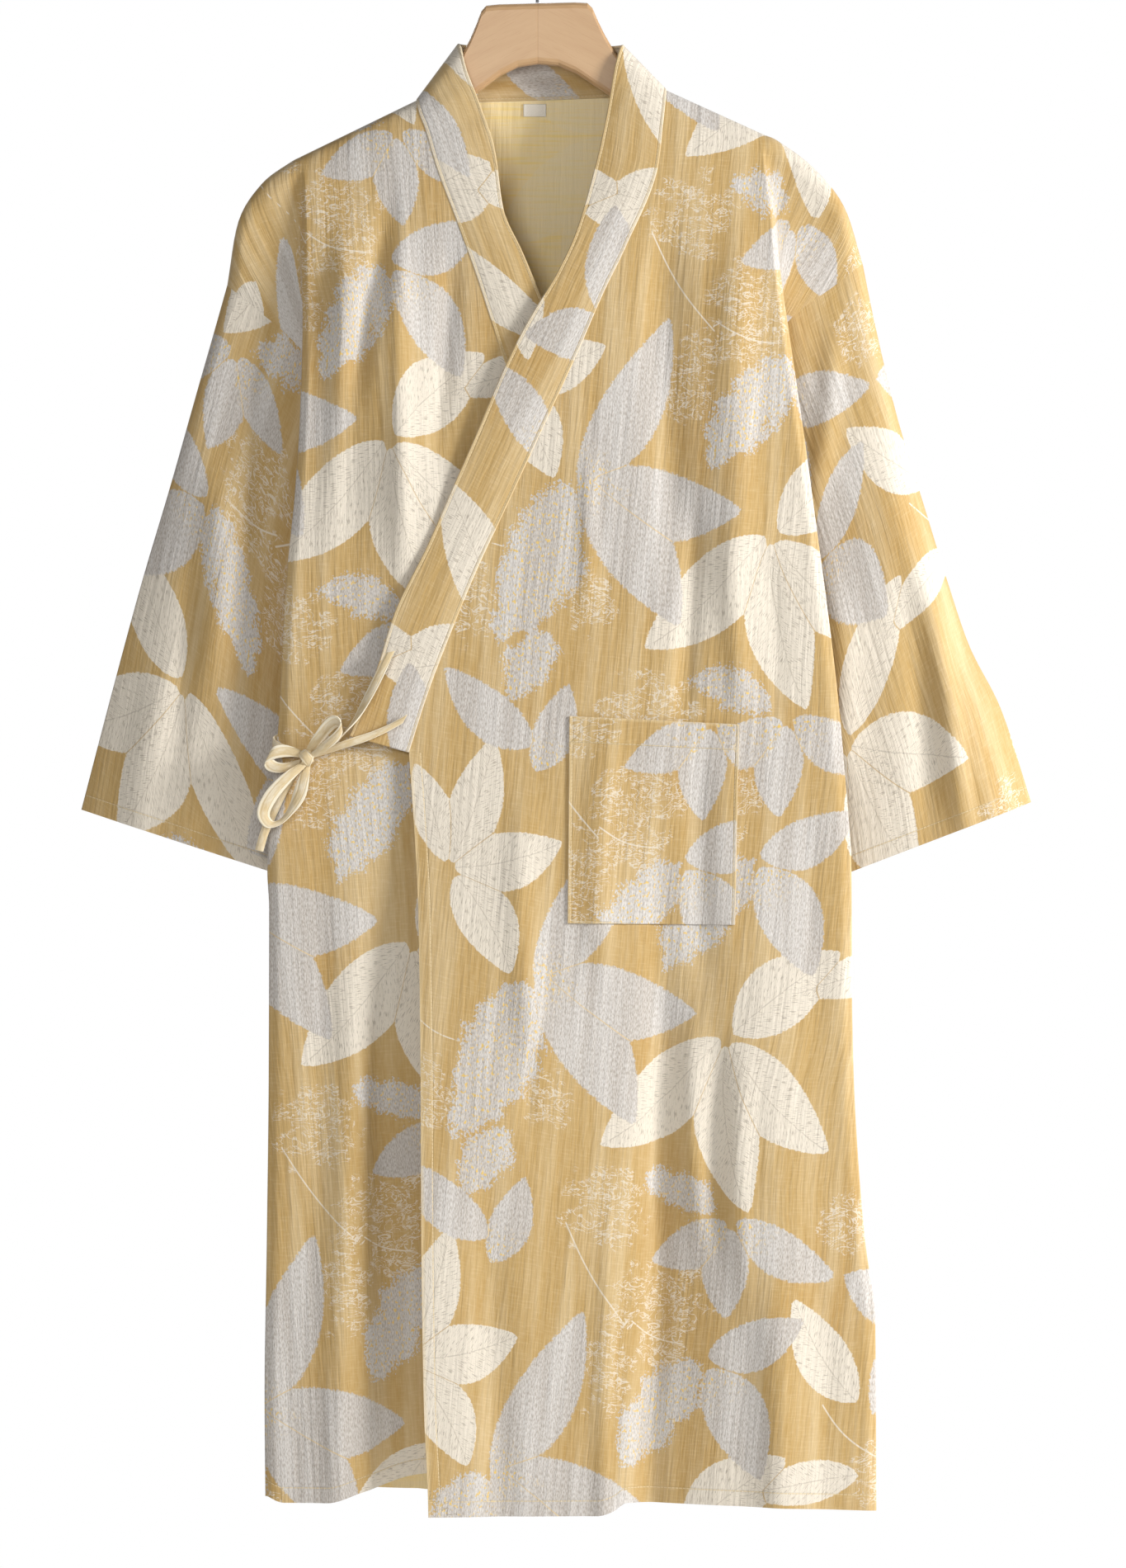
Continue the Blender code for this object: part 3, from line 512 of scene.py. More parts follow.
# Straight front edges below the collar, z and x, and the lift of each hem, x and lift.
EDGE_LEFT = [(-653, -101.0), (-710, -97.0), (-775, -93.6), (-905, -91.6), (-1035, -91.0),
             (-1165, -89.0), (-1230, -86.0), (-1270, -85.0)]
EDGE_RIGHT = [(-653, 125.0), (-775, 129.0), (-1000, 134.0), (-1270, 137.0)]
HEM_LEFT = [(-100, 0.0), (46, 0.0), (58, 3.0), (70, 10.0), (150, 8.0), (264, 4.0)]
HEM_RIGHT = [(-212, 6.0), (-200, 1.0), (-165, 1.0), (-138, 9.0), (-86, 24.0), (130, 28.0)]
HEM_BACK = [(-220, 8.0), (0, 4.0), (264, 6.0)]

# Soft folds and creases of each panel: x and z at the top, x and z at the bottom, half width, and
# height toward the front. A trough has a height below zero.
SOFT_LEFT = [
    (103, -150, 108, -560, 16, -4),
    (166, -160, 156, -600, 19, 4.5),
    (-80, -600, -84, -1700, 105, 12),
    (112, -600, 76, -1700, 28, -6),
    (100, -660, 70, -1700, 12, -5.2),
    (205, -640, 236, -1900, 45, 7),
    (42, -400, 36, -560, 7, 1.8),
    (154, -450, 158, -650, 11, 3),
    (120, -430, 119, -660, 9, -3),
    (181, -480, 190, -640, 9, -2.6),
    (52, -600, 50, -860, 12, 2.6),
    (128, -600, 132, -880, 12, -2.6),
    (60, -940, 44, -1560, 7, 2.4),
    (122, -840, 124, -1060, 8, 3),
    (140, -850, 142, -1070, 7, -3),
    (159, -860, 164, -1120, 9, 2.6),
    (238, -600, 243, -1000, 8, 3),
    (217, -640, 222, -960, 9, -3),
    (-10, -660, -8, -930, 12, 3),
    (2, -850, -9, -960, 4, -1.4),
    (-34, -900, -27, -1500, 15, -3),
    (182, -1000, 188, -1500, 15, 4),
    (219, -950, 230, -1500, 12, -4)]
SOFT_RIGHT = [
    (-122, -190, -110, -560, 34, 7),
    (-155, -700, -150, -1900, 36, 4),
    (-157, -120, -162, -560, 11, 5),
    (-113, -130, -143, -400, 10, -6),
    (-103, -190, -112, -560, 9, 3.6),
    (-69, -220, -80, -460, 9, -3),
    (-92, -130, -86, -250, 5, 2),
    (-196, -640, -200, -1090, 10, 2.6),
    (-176, -680, -172, -1120, 11, -3),
    (-150, -760, -158, -1400, 12, 3),
    (-122, -700, -126, -1300, 12, -3.4),
    (-104, -640, -108, -1900, 20, -7)]
SOFT_BACK = [
    (-60, -250, -80, -1900, 50, -6),
    (90, -250, 110, -1900, 50, -6),
    (-150, -170, -132, -620, 11, -3.6),
    (-118, -200, -104, -540, 9, 3.2),
    (150, -170, 138, -660, 12, -3.8),
    (116, -230, 108, -520, 9, 3),
    (-20, -260, -28, -820, 14, -3),
    (34, -300, 30, -760, 11, 2.8),
    (-84, -560, -92, -1240, 12, 3.6),
    (-118, -640, -130, -1500, 14, -4.6),
    (70, -700, 84, -1520, 13, -4.4),
    (10, -760, 4, -1500, 12, 3.4),
    (150, -640, 164, -1300, 11, 3.4),
    (196, -720, 206, -1500, 12, -4),
    (-170, -700, -166, -1200, 10, -3)]


def smooth(table, key, column=1):
    """Cubic curve through a table's rows, read at one key or at many."""
    rows = np.array(sorted(table))
    keys, values = rows[:, 0], rows[:, column]
    slope = np.diff(values) / np.diff(keys)
    total = slope[:-1] + slope[1:]
    even = slope[:-1] * slope[1:] > 0
    inner = np.where(even, 2 * slope[:-1] * slope[1:] / np.where(even, total, 1), 0)
    tangent = np.concatenate([slope[:1], inner, slope[-1:]])
    key = np.clip(key, keys[0], keys[-1])
    i = np.clip(np.searchsorted(keys, key, side="right") - 1, 0, len(keys) - 2)
    gap = keys[i + 1] - keys[i]
    t = (key - keys[i]) / gap
    return ((2 * t ** 3 - 3 * t ** 2 + 1) * values[i] + (t ** 3 - 2 * t ** 2 + t) * gap * tangent[i]
            + (3 * t ** 2 - 2 * t ** 3) * values[i + 1] + (t ** 3 - t ** 2) * gap * tangent[i + 1])


def ease(low, high, value):
    """0 at low, 1 at high, level at both."""
    t = np.clip((value - low) / (high - low), 0, 1)
    return t * t * (3 - 2 * t)


def mix(a, b, t):
    return a + (b - a) * t


def spline(points, steps):
    """Catmull-Rom through the points, the same number of steps in each span."""
    p = np.array(points, float)
    p = np.vstack([2 * p[0] - p[1], p, 2 * p[-1] - p[-2]])
    t = (np.arange(steps) / steps)[:, None]
    spans = [0.5 * (2 * b + (c - a) * t + (2 * a - 5 * b + 4 * c - d) * t ** 2
                    + (3 * b - a - 3 * c + d) * t ** 3)
             for a, b, c, d in zip(p, p[1:], p[2:], p[3:])]
    return np.vstack(spans + [p[-2:-1]])


FOLD_DEPTH = 1.5            # times the heights in the tables above


def soft(folds, x, z):
    """Height of the soft folds and creases at points of a panel."""
    total = np.zeros_like(x)
    for x0, z0, x1, z1, half, height in folds:
        along = (z0 - z) / (z0 - z1)
        across = (x - mix(x0, x1, along) - 0.35 * half * np.sin(5.0 * along + x0)) / half
        total += FOLD_DEPTH * height * ease(0, 0.35, along) * ease(1, 0.65, along) * np.exp(-across ** 2)
    return total


# The two sides. The lap stands in front of the under layer, whose hidden part is tucked back, clear
# of the folds that lie over it.
LEFT = dict(sign=1, neck=-130.0, scale=1.0, slope=35.0, ridge=RIDGE_LEFT, fold=FOLD_LEFT,
            seam=SEAM_LEFT, band=BAND_LEFT, edge=EDGE_LEFT, hem=HEM_LEFT, soft=SOFT_LEFT,
            shoulder=-267.0, underarm=-440.0, lap=LAP, tuck=0.0)
RIGHT = dict(sign=-1, neck=-138.0, scale=0.985, slope=44.0, ridge=RIDGE_RIGHT, fold=FOLD_RIGHT,
             seam=SEAM_RIGHT, band=BAND_RIGHT, edge=EDGE_RIGHT, hem=HEM_RIGHT, soft=SOFT_RIGHT,
             shoulder=-284.0, underarm=-443.0, lap=0.0, tuck=13.5)


def levels(step, last=HEM_DROP):
    """Drops of a panel's rows, closer together over the hanger's rounded top."""
    drops = [0.0]
    for a, b in zip(ROW_LEVELS, ROW_LEVELS[1:]):
        if b <= last:
            count = max(3, math.ceil((b - a) / step))
            drops += [a + (b - a) * (k + 1) / count for k in range(count)]
    return drops


def lens(drop, back):
    """Half opening of the armhole at a drop, round at the shoulder and closed underneath."""
    share = np.minimum(drop / UNDERARM_DROP, 1)
    return LENS[back] * (1 - np.exp(-drop / 5.0)) * np.sqrt(1 - share ** 2)


def armhole(side, drop):
    """Seam point at a drop: on the armhole, then on the side seam. Depth is left at zero."""
    level = side["neck"] - drop * side["scale"]
    z = mix(side["shoulder"], side["underarm"], drop / UNDERARM_DROP) if drop < UNDERARM_DROP else level
    return np.array([float(smooth(side["seam"], z)), 0.0, z])


def side_turn(side, drop, back):
    """Control points of one row from the side fold to the seam."""
    s = side["sign"]
    level = side["neck"] - drop * side["scale"]
    z_fold = level - side["slope"] * (1 - ease(0, 320, drop))
    face = smooth(DEPTH, drop, 2 if back else 1)
    front = face + (0.0 if back else side["lap"] * ease(60, 150, drop))
    seam = armhole(side, drop)
    seam[1] = lens(drop, back) if drop < UNDERARM_DROP else 0.35
    fold_x = smooth(side["fold"], z_fold) - (6.0 * s if back else 0.0)
    near = np.array([fold_x - 3.0 * s, front - 1.0, z_fold])
    tip = np.array([fold_x, front - 5.5, mix(z_fold, seam[2], 0.03)])
    far = tip + (seam - tip) * [0.36, 0.30, 0.38]
    last = tip + (seam - tip) * [0.74, 0.68, 0.72]
    start = [np.array([x, min(face, 15.0), z - drop * 0.55]) for x, z in side["ridge"][:4]] + [seam]
    points = mix(np.array(start), np.array([near, tip, far, last, seam]), ease(0, 60, drop))
    points[:, 1] *= 1 if back else -1
    return points


def neck_curve(x):
    """Back neck: 1 behind the neck, 0 at the neck points."""
    return (1 - np.minimum(1.0, np.abs(x - 2.5) / 98.0) ** 3.2) ** 0.5


def back_row(drop, cols=22, steps=6):
    """One row of the back, from the right side seam to the left one."""
    depth = smooth(DEPTH, drop, 2)
    sides = []
    for side in (RIGHT, LEFT):
        level = side["neck"] - drop * side["scale"]
        turn = side_turn(side, drop, True)
        u = np.arange(1, cols) / cols
        x, z = mix(side["band"][0][1], turn[0][0], u), mix(level, turn[0][2], u)
        y = depth - soft(SOFT_BACK, x, z) * (1 - ease(0.6, 1.0, u)) * ease(20, 120, drop)
        sides.append(np.vstack([np.column_stack([x, y, z]), spline(turn, steps)]))
    u = np.linspace(0, 1, NECK_COLS + 1)
    bend = 0.5 - 0.5 * np.cos(np.pi * u)
    x = mix(RIGHT["band"][0][1], LEFT["band"][0][1], mix(u, bend, 0.6))
    z = mix(RIGHT["neck"] - drop * RIGHT["scale"], LEFT["neck"] - drop * LEFT["scale"], u)
    z = z - 2.0 * np.sin(np.pi * u) * (1 - ease(0, 200, drop))
    y = mix(depth, max(depth, 23.0 + 0.01 * drop), neck_curve(x))
    y = y - soft(SOFT_BACK, x, z) * ease(20, 120, drop)
    row = np.vstack([sides[0][::-1], np.column_stack([x, y, z]), sides[1]])
    row[:, 2] += smooth(HEM_BACK, row[:, 0]) * ease(900, HEM_DROP, drop)
    return row


def along_cut(points, row, column, sign=1):
    """Cut coordinates of a grid, across and down, true to length from one row and one column."""
    across = np.linalg.norm(np.diff(points, axis=1), axis=2)
    down = np.linalg.norm(np.diff(points, axis=0), axis=2)
    u = np.concatenate([np.zeros((len(points), 1)), np.cumsum(across, axis=1)], axis=1)
    v = np.concatenate([np.zeros((1, points.shape[1])), np.cumsum(down, axis=0)], axis=0)
    u = points[:, column:column + 1, 0] + sign * (u - u[:, column:column + 1])
    v = -points[row:row + 1, :, 2] + v - v[row:row + 1]
    return np.stack([u, v], -1)


def hem_sewing_and_edge_highlight(drops, cut, edge_distance=None):
    """Distance to the nearest line of stitches, and the way along it, at each point of a panel, and near a
    front edge a painted highlight along its fold.
    """
    up = HEM_DROP - np.array(drops)[:, None] - HEM_WIDTH + 0 * cut[:, :, 0]
    sewing_and_edge_highlight = np.stack([up, cut[:, :, 0], 0 * up], -1)
    if edge_distance is not None:
        nearer = np.abs(edge_distance) < np.abs(up)
        sewing_and_edge_highlight[nearer] = np.stack([edge_distance, cut[:, :, 1], 0 * up], -1)[nearer]
        # The third part is a painted highlight along the folded front edge.
        sewing_and_edge_highlight[:, :, 2] = ease(1.8, 0.6, edge_distance + EDGE_HEM)
    return sewing_and_edge_highlight


CHEST_ROW = 26              # the row whose height the cut coordinates start from
back_drops = levels(5.0)
back_points = np.array([back_row(drop) for drop in back_drops])
back_cut = along_cut(back_points, CHEST_ROW, back_points.shape[1] // 2)
cloth("back_panel", back_points, back_cut * [-1, 1] + [250, -120], "back",
      sewing_and_edge_highlight=hem_sewing_and_edge_highlight(back_drops, back_cut))

# Fronts. The wearer's right front is the under layer, and the left one laps over it to the side.
# Each runs from its collar seam round the side fold to the side seam, with a narrow turned edge.
EDGE_HEM = 9.0


def front_row(side, drop, cols=104, steps=6):
    """One row of a front, from the collar seam or the front edge to the side seam."""
    level = side["neck"] - drop * side["scale"]
    edge_x = smooth(side["band"] if level > BAND_END else side["edge"], level)
    turn = side_turn(side, drop, False)
    depth = smooth(DEPTH, drop) + side["lap"] * ease(60, 150, drop)
    u = np.arange(cols) / cols
    x, z = mix(edge_x, turn[0][0], u), mix(level, turn[0][2], u)
    y = -depth - soft(side["soft"], x, z) * (1 - ease(0.75, 1.0, u)) * ease(40, 160, drop)
    y = y + side["tuck"] * ease(-92, -56, x) * ease(640, 760, -z)
    row = np.vstack([np.column_stack([x, y, z]), spline(turn, steps)])
    row[:, 2] += smooth(side["hem"], row[:, 0]) * ease(900, HEM_DROP, drop)
    return row


front_drops = levels(4.6)
front_points = {}
for name, side, width, slope, shift in (("front_right", RIGHT, 0.35, -0.0518, (333.2, -370.7)),
                                        ("front_left", LEFT, 0.365, 0.0856, (-38.0, -443.5))):
    points = np.array([front_row(side, drop) for drop in front_drops])
    plain = along_cut(points, CHEST_ROW, 0, side["sign"])
    cut = plain @ np.array([[1, 0], [slope, 1]]) + shift
    inward = (plain[:, :, 0] - plain[:, :1, 0]) * side["sign"] - EDGE_HEM
    on_collar = side["neck"] - np.array(front_drops) * side["scale"] > BAND_END
    inward[on_collar] = FAR_FROM_SEWING[0]
    cloth(name + "_panel", points, cut, name,
          sewing_and_edge_highlight=hem_sewing_and_edge_highlight(front_drops, plain, inward), flip=side["sign"] > 0)
    front_points[name] = points

# Collar. One band folded lengthwise over the raw neck edge, from the right front up round the
# back neck and down to its end on the left front, where the ties are sewn.
COLLAR_STEPS = 14
COLLAR_DROP = 523.0
COLLAR_STITCH = 2.4


def collar_side(side, drops):
    """Rows of the band on one front: seam edge to free edge."""
    rows = []
    for drop in drops:
        edge = front_row(side, drop, 2, 1)[0]
        level = side["neck"] - drop * side["scale"]
        free = np.array([float(smooth(side["band"], level, c)) for c in (2, 3, 4)])
        if drop > 32:
            free[1] = edge[1] + (mix(1.0, -1.0, ease(60, 150, drop)) if side["lap"] > 0 else 1.0)
        u = np.linspace(0, 1, COLLAR_STEPS)[:, None]
        bow = np.array([0.0, -1.6 if drop > 15 else -0.4, 0.0])
        rows.append(mix(edge, free, u) + bow * np.sin(math.pi * u))
    return rows


collar_drops = levels(3.6, COLLAR_DROP)
collar_left = collar_side(LEFT, collar_drops[::-1])
collar_right = collar_side(RIGHT, collar_drops)
neck_row = back_row(0)
neck_first = (len(neck_row) - NECK_COLS - 1) // 2
neck_edge = neck_row[neck_first:neck_first + NECK_COLS + 1][::-1]
collar_start, collar_stop = collar_left[-1][-1], collar_right[0][-1]
collar_neck = []
for i, point in enumerate(neck_edge):
    u = i / NECK_COLS
    round_x = mix(u, 0.5 - 0.5 * math.cos(math.pi * u), 0.6)
    free = np.array([mix(collar_start[0], collar_stop[0], round_x), 19.0 * neck_curve(point[0]),
                     mix(collar_start[2], collar_stop[2], u)])
    collar_neck.append(mix(point, free, np.linspace(0, 1, COLLAR_STEPS)[:, None]))
collar_points = np.array(collar_left[:-1] + collar_neck + collar_right[1:])
collar_cut = along_cut(collar_points, 0, 0)
collar_cut[:, :, 0] -= collar_points[:, :1, 0]
from_seam = np.abs(collar_cut[:, :, 0] - collar_cut[:, :1, 0])
from_seam = np.minimum(from_seam, from_seam[:, -1:] - from_seam) - COLLAR_STITCH
# The third part is a painted highlight along both folded edges of the band.
collar_sewing_and_edge_highlight = np.stack([from_seam, collar_cut[:, :, 1], ease(1.6, 0.6, from_seam + COLLAR_STITCH)], -1)
cloth("collar_band", collar_points, collar_cut + [232, -328], "collar",
      sewing_and_edge_highlight=collar_sewing_and_edge_highlight, thick=2.4, rounded=0.9)

# Sleeves. Each is one straight-grain piece folded along its top and seamed underneath, sewn flat
# to the dropped armhole. It hangs flattened, with an open hemmed cuff.
OUTER_LEFT = [(256.0, -267.0), (263.0, -302.0), (282.0, -383.0), (307.0, -466.0), (325.0, -524.0),
              (340.0, -568.0), (365.0, -618.0), (389.0, -692.0)]
OUTER_RIGHT = [(-245.0, -284.0), (-254.0, -316.0), (-268.0, -365.0), (-290.0, -443.0),
               (-313.0, -521.0), (-336.0, -606.0), (-360.0, -698.0)]
SLEEVES = [dict(name="sleeve_right", side=RIGHT, outer=OUTER_RIGHT, cuff=(-133.0, -772.0), crease=0.35,
                fullness=21.0, mirror=-1, spray=(-277.6, -606.0),
                soft=[(-258.0, -400.0, -252.0, -640.0, 16.0, 4.0),
                      (-300.0, -560.0, -318.0, -760.0, 13.0, 3.0),
                      (-276.0, -480.0, -284.0, -700.0, 10.0, -3.0),
                      (-226.0, -320.0, -214.0, -520.0, 11.0, -3.0)]),
           dict(name="sleeve_left", side=LEFT, outer=OUTER_LEFT, cuff=(171.0, -776.0), crease=0.17,
                fullness=27.0, mirror=1, spray=(244.4, -650.2),
                soft=[(243.0, -290.0, 214.0, -470.0, 9.0, 4.0),
                      (296.0, -450.0, 352.0, -780.0, 9.0, 5.0),
                      (282.0, -470.0, 316.0, -760.0, 12.0, -4.0),
                      (232.0, -500.0, 240.0, -720.0, 14.0, 3.0)])]
SPRAY_MIDDLE = np.array([190.0, 44.0])     # of the cream spray, on the repeat
SLEEVE_STATIONS = 84
SLEEVE_HALF = 84
TOP_SHARES = [0, 0.0015, 0.005, 0.012, 0.022, 0.036]    # rows set close round the top crease
for sleeve in SLEEVES:
    side = sleeve["side"]
    s = side["sign"]
    outer = np.array(sleeve["outer"])
    lengths = np.concatenate([[0], np.cumsum(np.linalg.norm(np.diff(outer, axis=0), axis=1))])
    low0 = armhole(side, UNDERARM_DROP)[[0, 2]]
    low1 = np.array(sleeve["cuff"])
    shares = np.concatenate([TOP_SHARES, np.linspace(0.055, 1, SLEEVE_HALF - len(TOP_SHARES))])
    seam = np.array([armhole(side, UNDERARM_DROP * t)[[0, 2]] for t in shares])
    rings = []
    for j in range(SLEEVE_STATIONS):
        a = j / (SLEEVE_STATIONS - 1)
        a = mix(a, a * a, 0.25)
        high = np.array([smooth(list(zip(lengths, outer[:, k])), lengths[-1] * a) for k in (0, 1)])
        low = mix(low0, low1, a)
        t = shares[:, None]
        flat_line = mix(high, low, t)
        line = flat_line + (seam - mix(outer[0], low0, t)) * (1 - ease(0.0, 0.4, a))
        halves = []
        for back in (False, True):
            opening = lens(shares * UNDERARM_DROP, back)
            c = sleeve["crease"]
            if back:
                full = 13.0 * np.sin(math.pi * shares ** 0.8) ** 0.8
            else:
                rising = np.sin(math.pi / 2 * np.minimum(shares / c, 1)) ** 0.9
                falling = np.abs(np.cos(math.pi / 2 * np.maximum(shares - c, 0) / (1 - c))) ** 1.05
                full = sleeve["fullness"] * np.where(shares < c, rising, falling)
            y = mix(opening, full * mix(0.75, 1.0, a), ease(0.0, 0.55, a))
            fold = soft(sleeve["soft"], line[:, 0], line[:, 1]) * np.sin(math.pi * shares) ** 0.6
            y = y + fold * (0.7 if back else 1.0)
            halves.append(np.column_stack([line[:, 0], y if back else -y, line[:, 1]]))
        rings.append(np.vstack([halves[0], halves[1][-2:0:-1]]))
    sleeve_points = np.array(rings)
    ring = np.concatenate([sleeve_points, sleeve_points[:, :1]], axis=1)
    around = np.linalg.norm(np.diff(ring, axis=1), axis=2)
    u = np.concatenate([np.zeros((len(ring), 1)), np.cumsum(around, axis=1)], axis=1)
    down = np.linalg.norm(np.diff(ring, axis=0), axis=2)
    v = np.concatenate([np.zeros((1, ring.shape[1])), np.cumsum(down, axis=0)], axis=0)
    total = u[:, -1:]
    sleeve_cut = np.stack([(u - total / 4) * sleeve["mirror"] * -s, v], -1)
    front_half = sleeve_points[:, 1:SLEEVE_HALF]
    away = np.linalg.norm(front_half[:, :, [0, 2]] - sleeve["spray"], axis=2)
    row, column = np.unravel_index(away.argmin(), away.shape)
    sleeve_shift = SPRAY_MIDDLE - sleeve_cut[row, column + 1]
    from_cuff = v[-1:] - v - HEM_WIDTH
    sleeve_sewn = np.stack([from_cuff, u, 0 * u], -1)
    cloth(sleeve["name"] + "_tube", sleeve_points, sleeve_cut + sleeve_shift,
          sleeve["name"], sewing_and_edge_highlight=sleeve_sewn, flip=s < 0, closed=True)

# Pocket. A square patch of the printed cotton with a deep turned top, stitched to the left front
# close to its edges, its mouth a little slack.
POCKET = [(24.7, -624.2), (158.0, -630.7), (154.7, -788.0), (23.4, -786.7)]
POCKET_STANDS = 1.7
POCKET_STITCH = 2.2
POCKET_HEM = 20.0
SIDE_COLS = 26              # columns of a front or the back that turn round the side fold


def target(points, rows, cols):
    """Part of a panel's grid, to be met by rays."""
    wide = points.shape[1]
    quads = [(r * wide + c, r * wide + c + 1, (r + 1) * wide + c + 1, (r + 1) * wide + c)
             for r in rows for c in cols]
    return BVHTree.FromPolygons([Vector(p) for p in points.reshape(-1, 3)], quads)


panel = front_points["front_left"]
panel_tree = target(panel, range(len(panel) - 1), range(panel.shape[1] - SIDE_COLS))
pocket_rows = []
for v in np.linspace(0, 1, 64):
    line = []
    for u in np.linspace(0, 1, 54):
        x = mix(mix(POCKET[0][0], POCKET[1][0], u), mix(POCKET[3][0], POCKET[2][0], u), v)
        z = mix(mix(POCKET[0][1], POCKET[1][1], u), mix(POCKET[3][1], POCKET[2][1], u), v)
        hit = panel_tree.ray_cast(Vector((x, -300.0, z)), Vector((0, 1, 0)))[0]
        mouth = 1.6 * math.sin(math.pi * u) * (1 - ease(0, 0.3, v))
        line.append((x, hit.y - POCKET_STANDS - mouth, z))
    pocket_rows.append(line)
pocket_points = np.array(pocket_rows)
pocket_cut = along_cut(pocket_points, 0, 0)
width, depth = pocket_cut[0, -1, 0] - pocket_cut[0, 0, 0], pocket_cut[-1, 0, 1] - pocket_cut[0, 0, 1]
inset_u = pocket_cut[:, :, 0] - pocket_cut[:, :1, 0]
inset_v = pocket_cut[:, :, 1] - pocket_cut[:1, :, 1]
side_gap = np.minimum(np.minimum(inset_u, width - inset_u), depth - inset_v) - POCKET_STITCH
top_gap = inset_v - POCKET_HEM
nearest = np.where(np.abs(side_gap) < np.abs(top_gap), side_gap, top_gap)
# A painted highlight along the pocket's folded sides, bottom and top.
pocket_edge_highlight = ease(1.9, 0.9, np.minimum(side_gap + POCKET_STITCH, inset_v))
pocket_sewing_and_edge_highlight = np.stack([nearest, inset_u + inset_v, pocket_edge_highlight], -1)
cloth("pocket_patch", pocket_points, pocket_cut @ np.array([[1, 0], [0.0856, 1]]) + (22.0, -443.5),
      "pocket", sewing_and_edge_highlight=pocket_sewing_and_edge_highlight, flip=True,
      thick=1.3, rounded=0.4)

# Ties. Narrow strips of the same cloth, folded in three and edge-stitched, tied at the right side
# in a small bow with one free end. Each row of a strip gives x, y, z, half width, its turn in the
# front plane and its tip forward, in degrees.
TIES = {
    "tie_front": [
        (-104.0, -57.6, -626.5, 4.0, 62, 0),
        (-118.0, -58.2, -634.0, 4.0, 62, 0),
        (-133.0, -58.6, -640.5, 4.0, 66, 5),
        (-149.0, -58.2, -645.5, 3.8, 72, 20),
        (-162.0, -55.5, -650.0, 3.4, 76, 30),
        (-175.6, -53.0, -654.6, 2.6, 80, 30)],
    "tie_edge": [
        (-115.5, -57.4, -574.0, 3.4, 12, 0),
        (-124.0, -58.4, -592.0, 4.2, 10, 10),
        (-133.5, -60.0, -611.0, 4.4, 14, 25),
        (-142.5, -61.8, -627.0, 4.2, 30, 35),
        (-153.5, -61.6, -640.0, 3.8, 50, 35),
        (-164.5, -59.0, -648.0, 3.2, 64, 30),
        (-175.4, -55.9, -652.6, 2.4, 74, 30)],
    "tie_side": [
        (-185.0, -29.0, -637.0, 3.6, 90, 0),
        (-198.0, -34.3, -640.0, 3.6, 90, 0),
        (-206.8, -39.5, -643.0, 3.6, 90, 0),
        (-206.8, -46.5, -646.0, 3.6, 88, 0),
        (-199.5, -49.2, -650.0, 3.4, 84, 0),
        (-186.0, -50.6, -655.2, 2.6, 84, 0)],
    "bow_loop_up": [
        (-180.4, -53.2, -652.8, 2.4, 140, 10),
        (-172.0, -62.0, -641.5, 4.4, 135, 25),
        (-163.0, -67.5, -631.0, 5.4, 128, 30),
        (-156.5, -70.5, -628.5, 5.4, 112, 30),
        (-153.6, -71.5, -633.5, 5.0, 95, 30),
        (-158.5, -68.5, -641.0, 4.4, 100, 25),
        (-168.0, -63.0, -648.5, 3.2, 110, 20),
        (-177.2, -55.9, -655.4, 2.2, 110, 20)],
    "bow_loop_side": [
        (-184.4, -53.0, -654.0, 2.2, 95, 0),
        (-197.0, -55.6, -651.5, 4.6, 92, 10),
        (-207.0, -57.0, -653.0, 5.2, 80, 10),
        (-212.0, -55.5, -657.5, 5.0, 62, 0),
        (-209.0, -53.6, -663.0, 4.6, 60, 0),
        (-200.0, -53.2, -664.8, 3.8, 70, 0),
        (-186.6, -52.2, -660.4, 2.0, 85, 0)],
    "bow_loop_low": [
        (-182.8, -54.3, -661.5, 2.4, 150, 0),
        (-196.0, -59.0, -672.0, 4.6, 152, 10),
        (-208.5, -60.5, -686.0, 5.6, 160, 10),
        (-215.0, -59.5, -700.0, 5.2, 176, 15),
        (-210.5, -58.0, -709.0, 4.2, 220, 25),
        (-201.5, -56.0, -707.0, 3.6, 252, 30),
        (-193.0, -54.4, -697.0, 4.6, 290, 30),
        (-186.0, -53.0, -683.0, 5.4, 330, 10),
        (-180.8, -52.0, -661.5, 2.6, 356, 0)],
    "bow_tail": [
        (-184.0, -50.2, -660.1, 2.2, 140, 0),
        (-198.0, -49.2, -680.0, 3.4, 150, 0),
        (-208.0, -49.4, -700.0, 3.6, 158, 0),
        (-214.6, -49.8, -716.0, 3.4, 166, 0),
        (-218.6, -50.0, -730.0, 3.2, 166, 0)]}
TIE_PALE = ink(233, 220, 194)
TIE_GOLD = ink(216, 192, 146)
TIE_EDGE_HIGHLIGHT = ink(244, 235, 212)
TIE_THICK = 1.1
TIE_CROWN = 0.7             # the middle of a strip stands this far in front of its edges
TIE_EDGE_ROUND = 0.4
TIE_COLS = 9
KNOT = np.array([-180.7, -52.6, -657.0])

tie_cotton, tie_shader, tie_start = finish("tie_cotton", 0.85, Sheen_Weight=0.15)
tie_cut = tie_start.node("ShaderNodeUVMap", {"uv_map": "cut"})
tie_patch = tie_cut.noise(90, 45, detail=3).step(0.42, 0.62)
tie_fine = tie_cut.noise(900, 300).step(0.3, 0.8) * 0.35
tie_colour = (tie_patch * 0.75 + tie_fine).paint(TIE_GOLD, TIE_PALE)
tie_edge_gap = abs(abs(tie_cut.part(0)) - 0.0026)
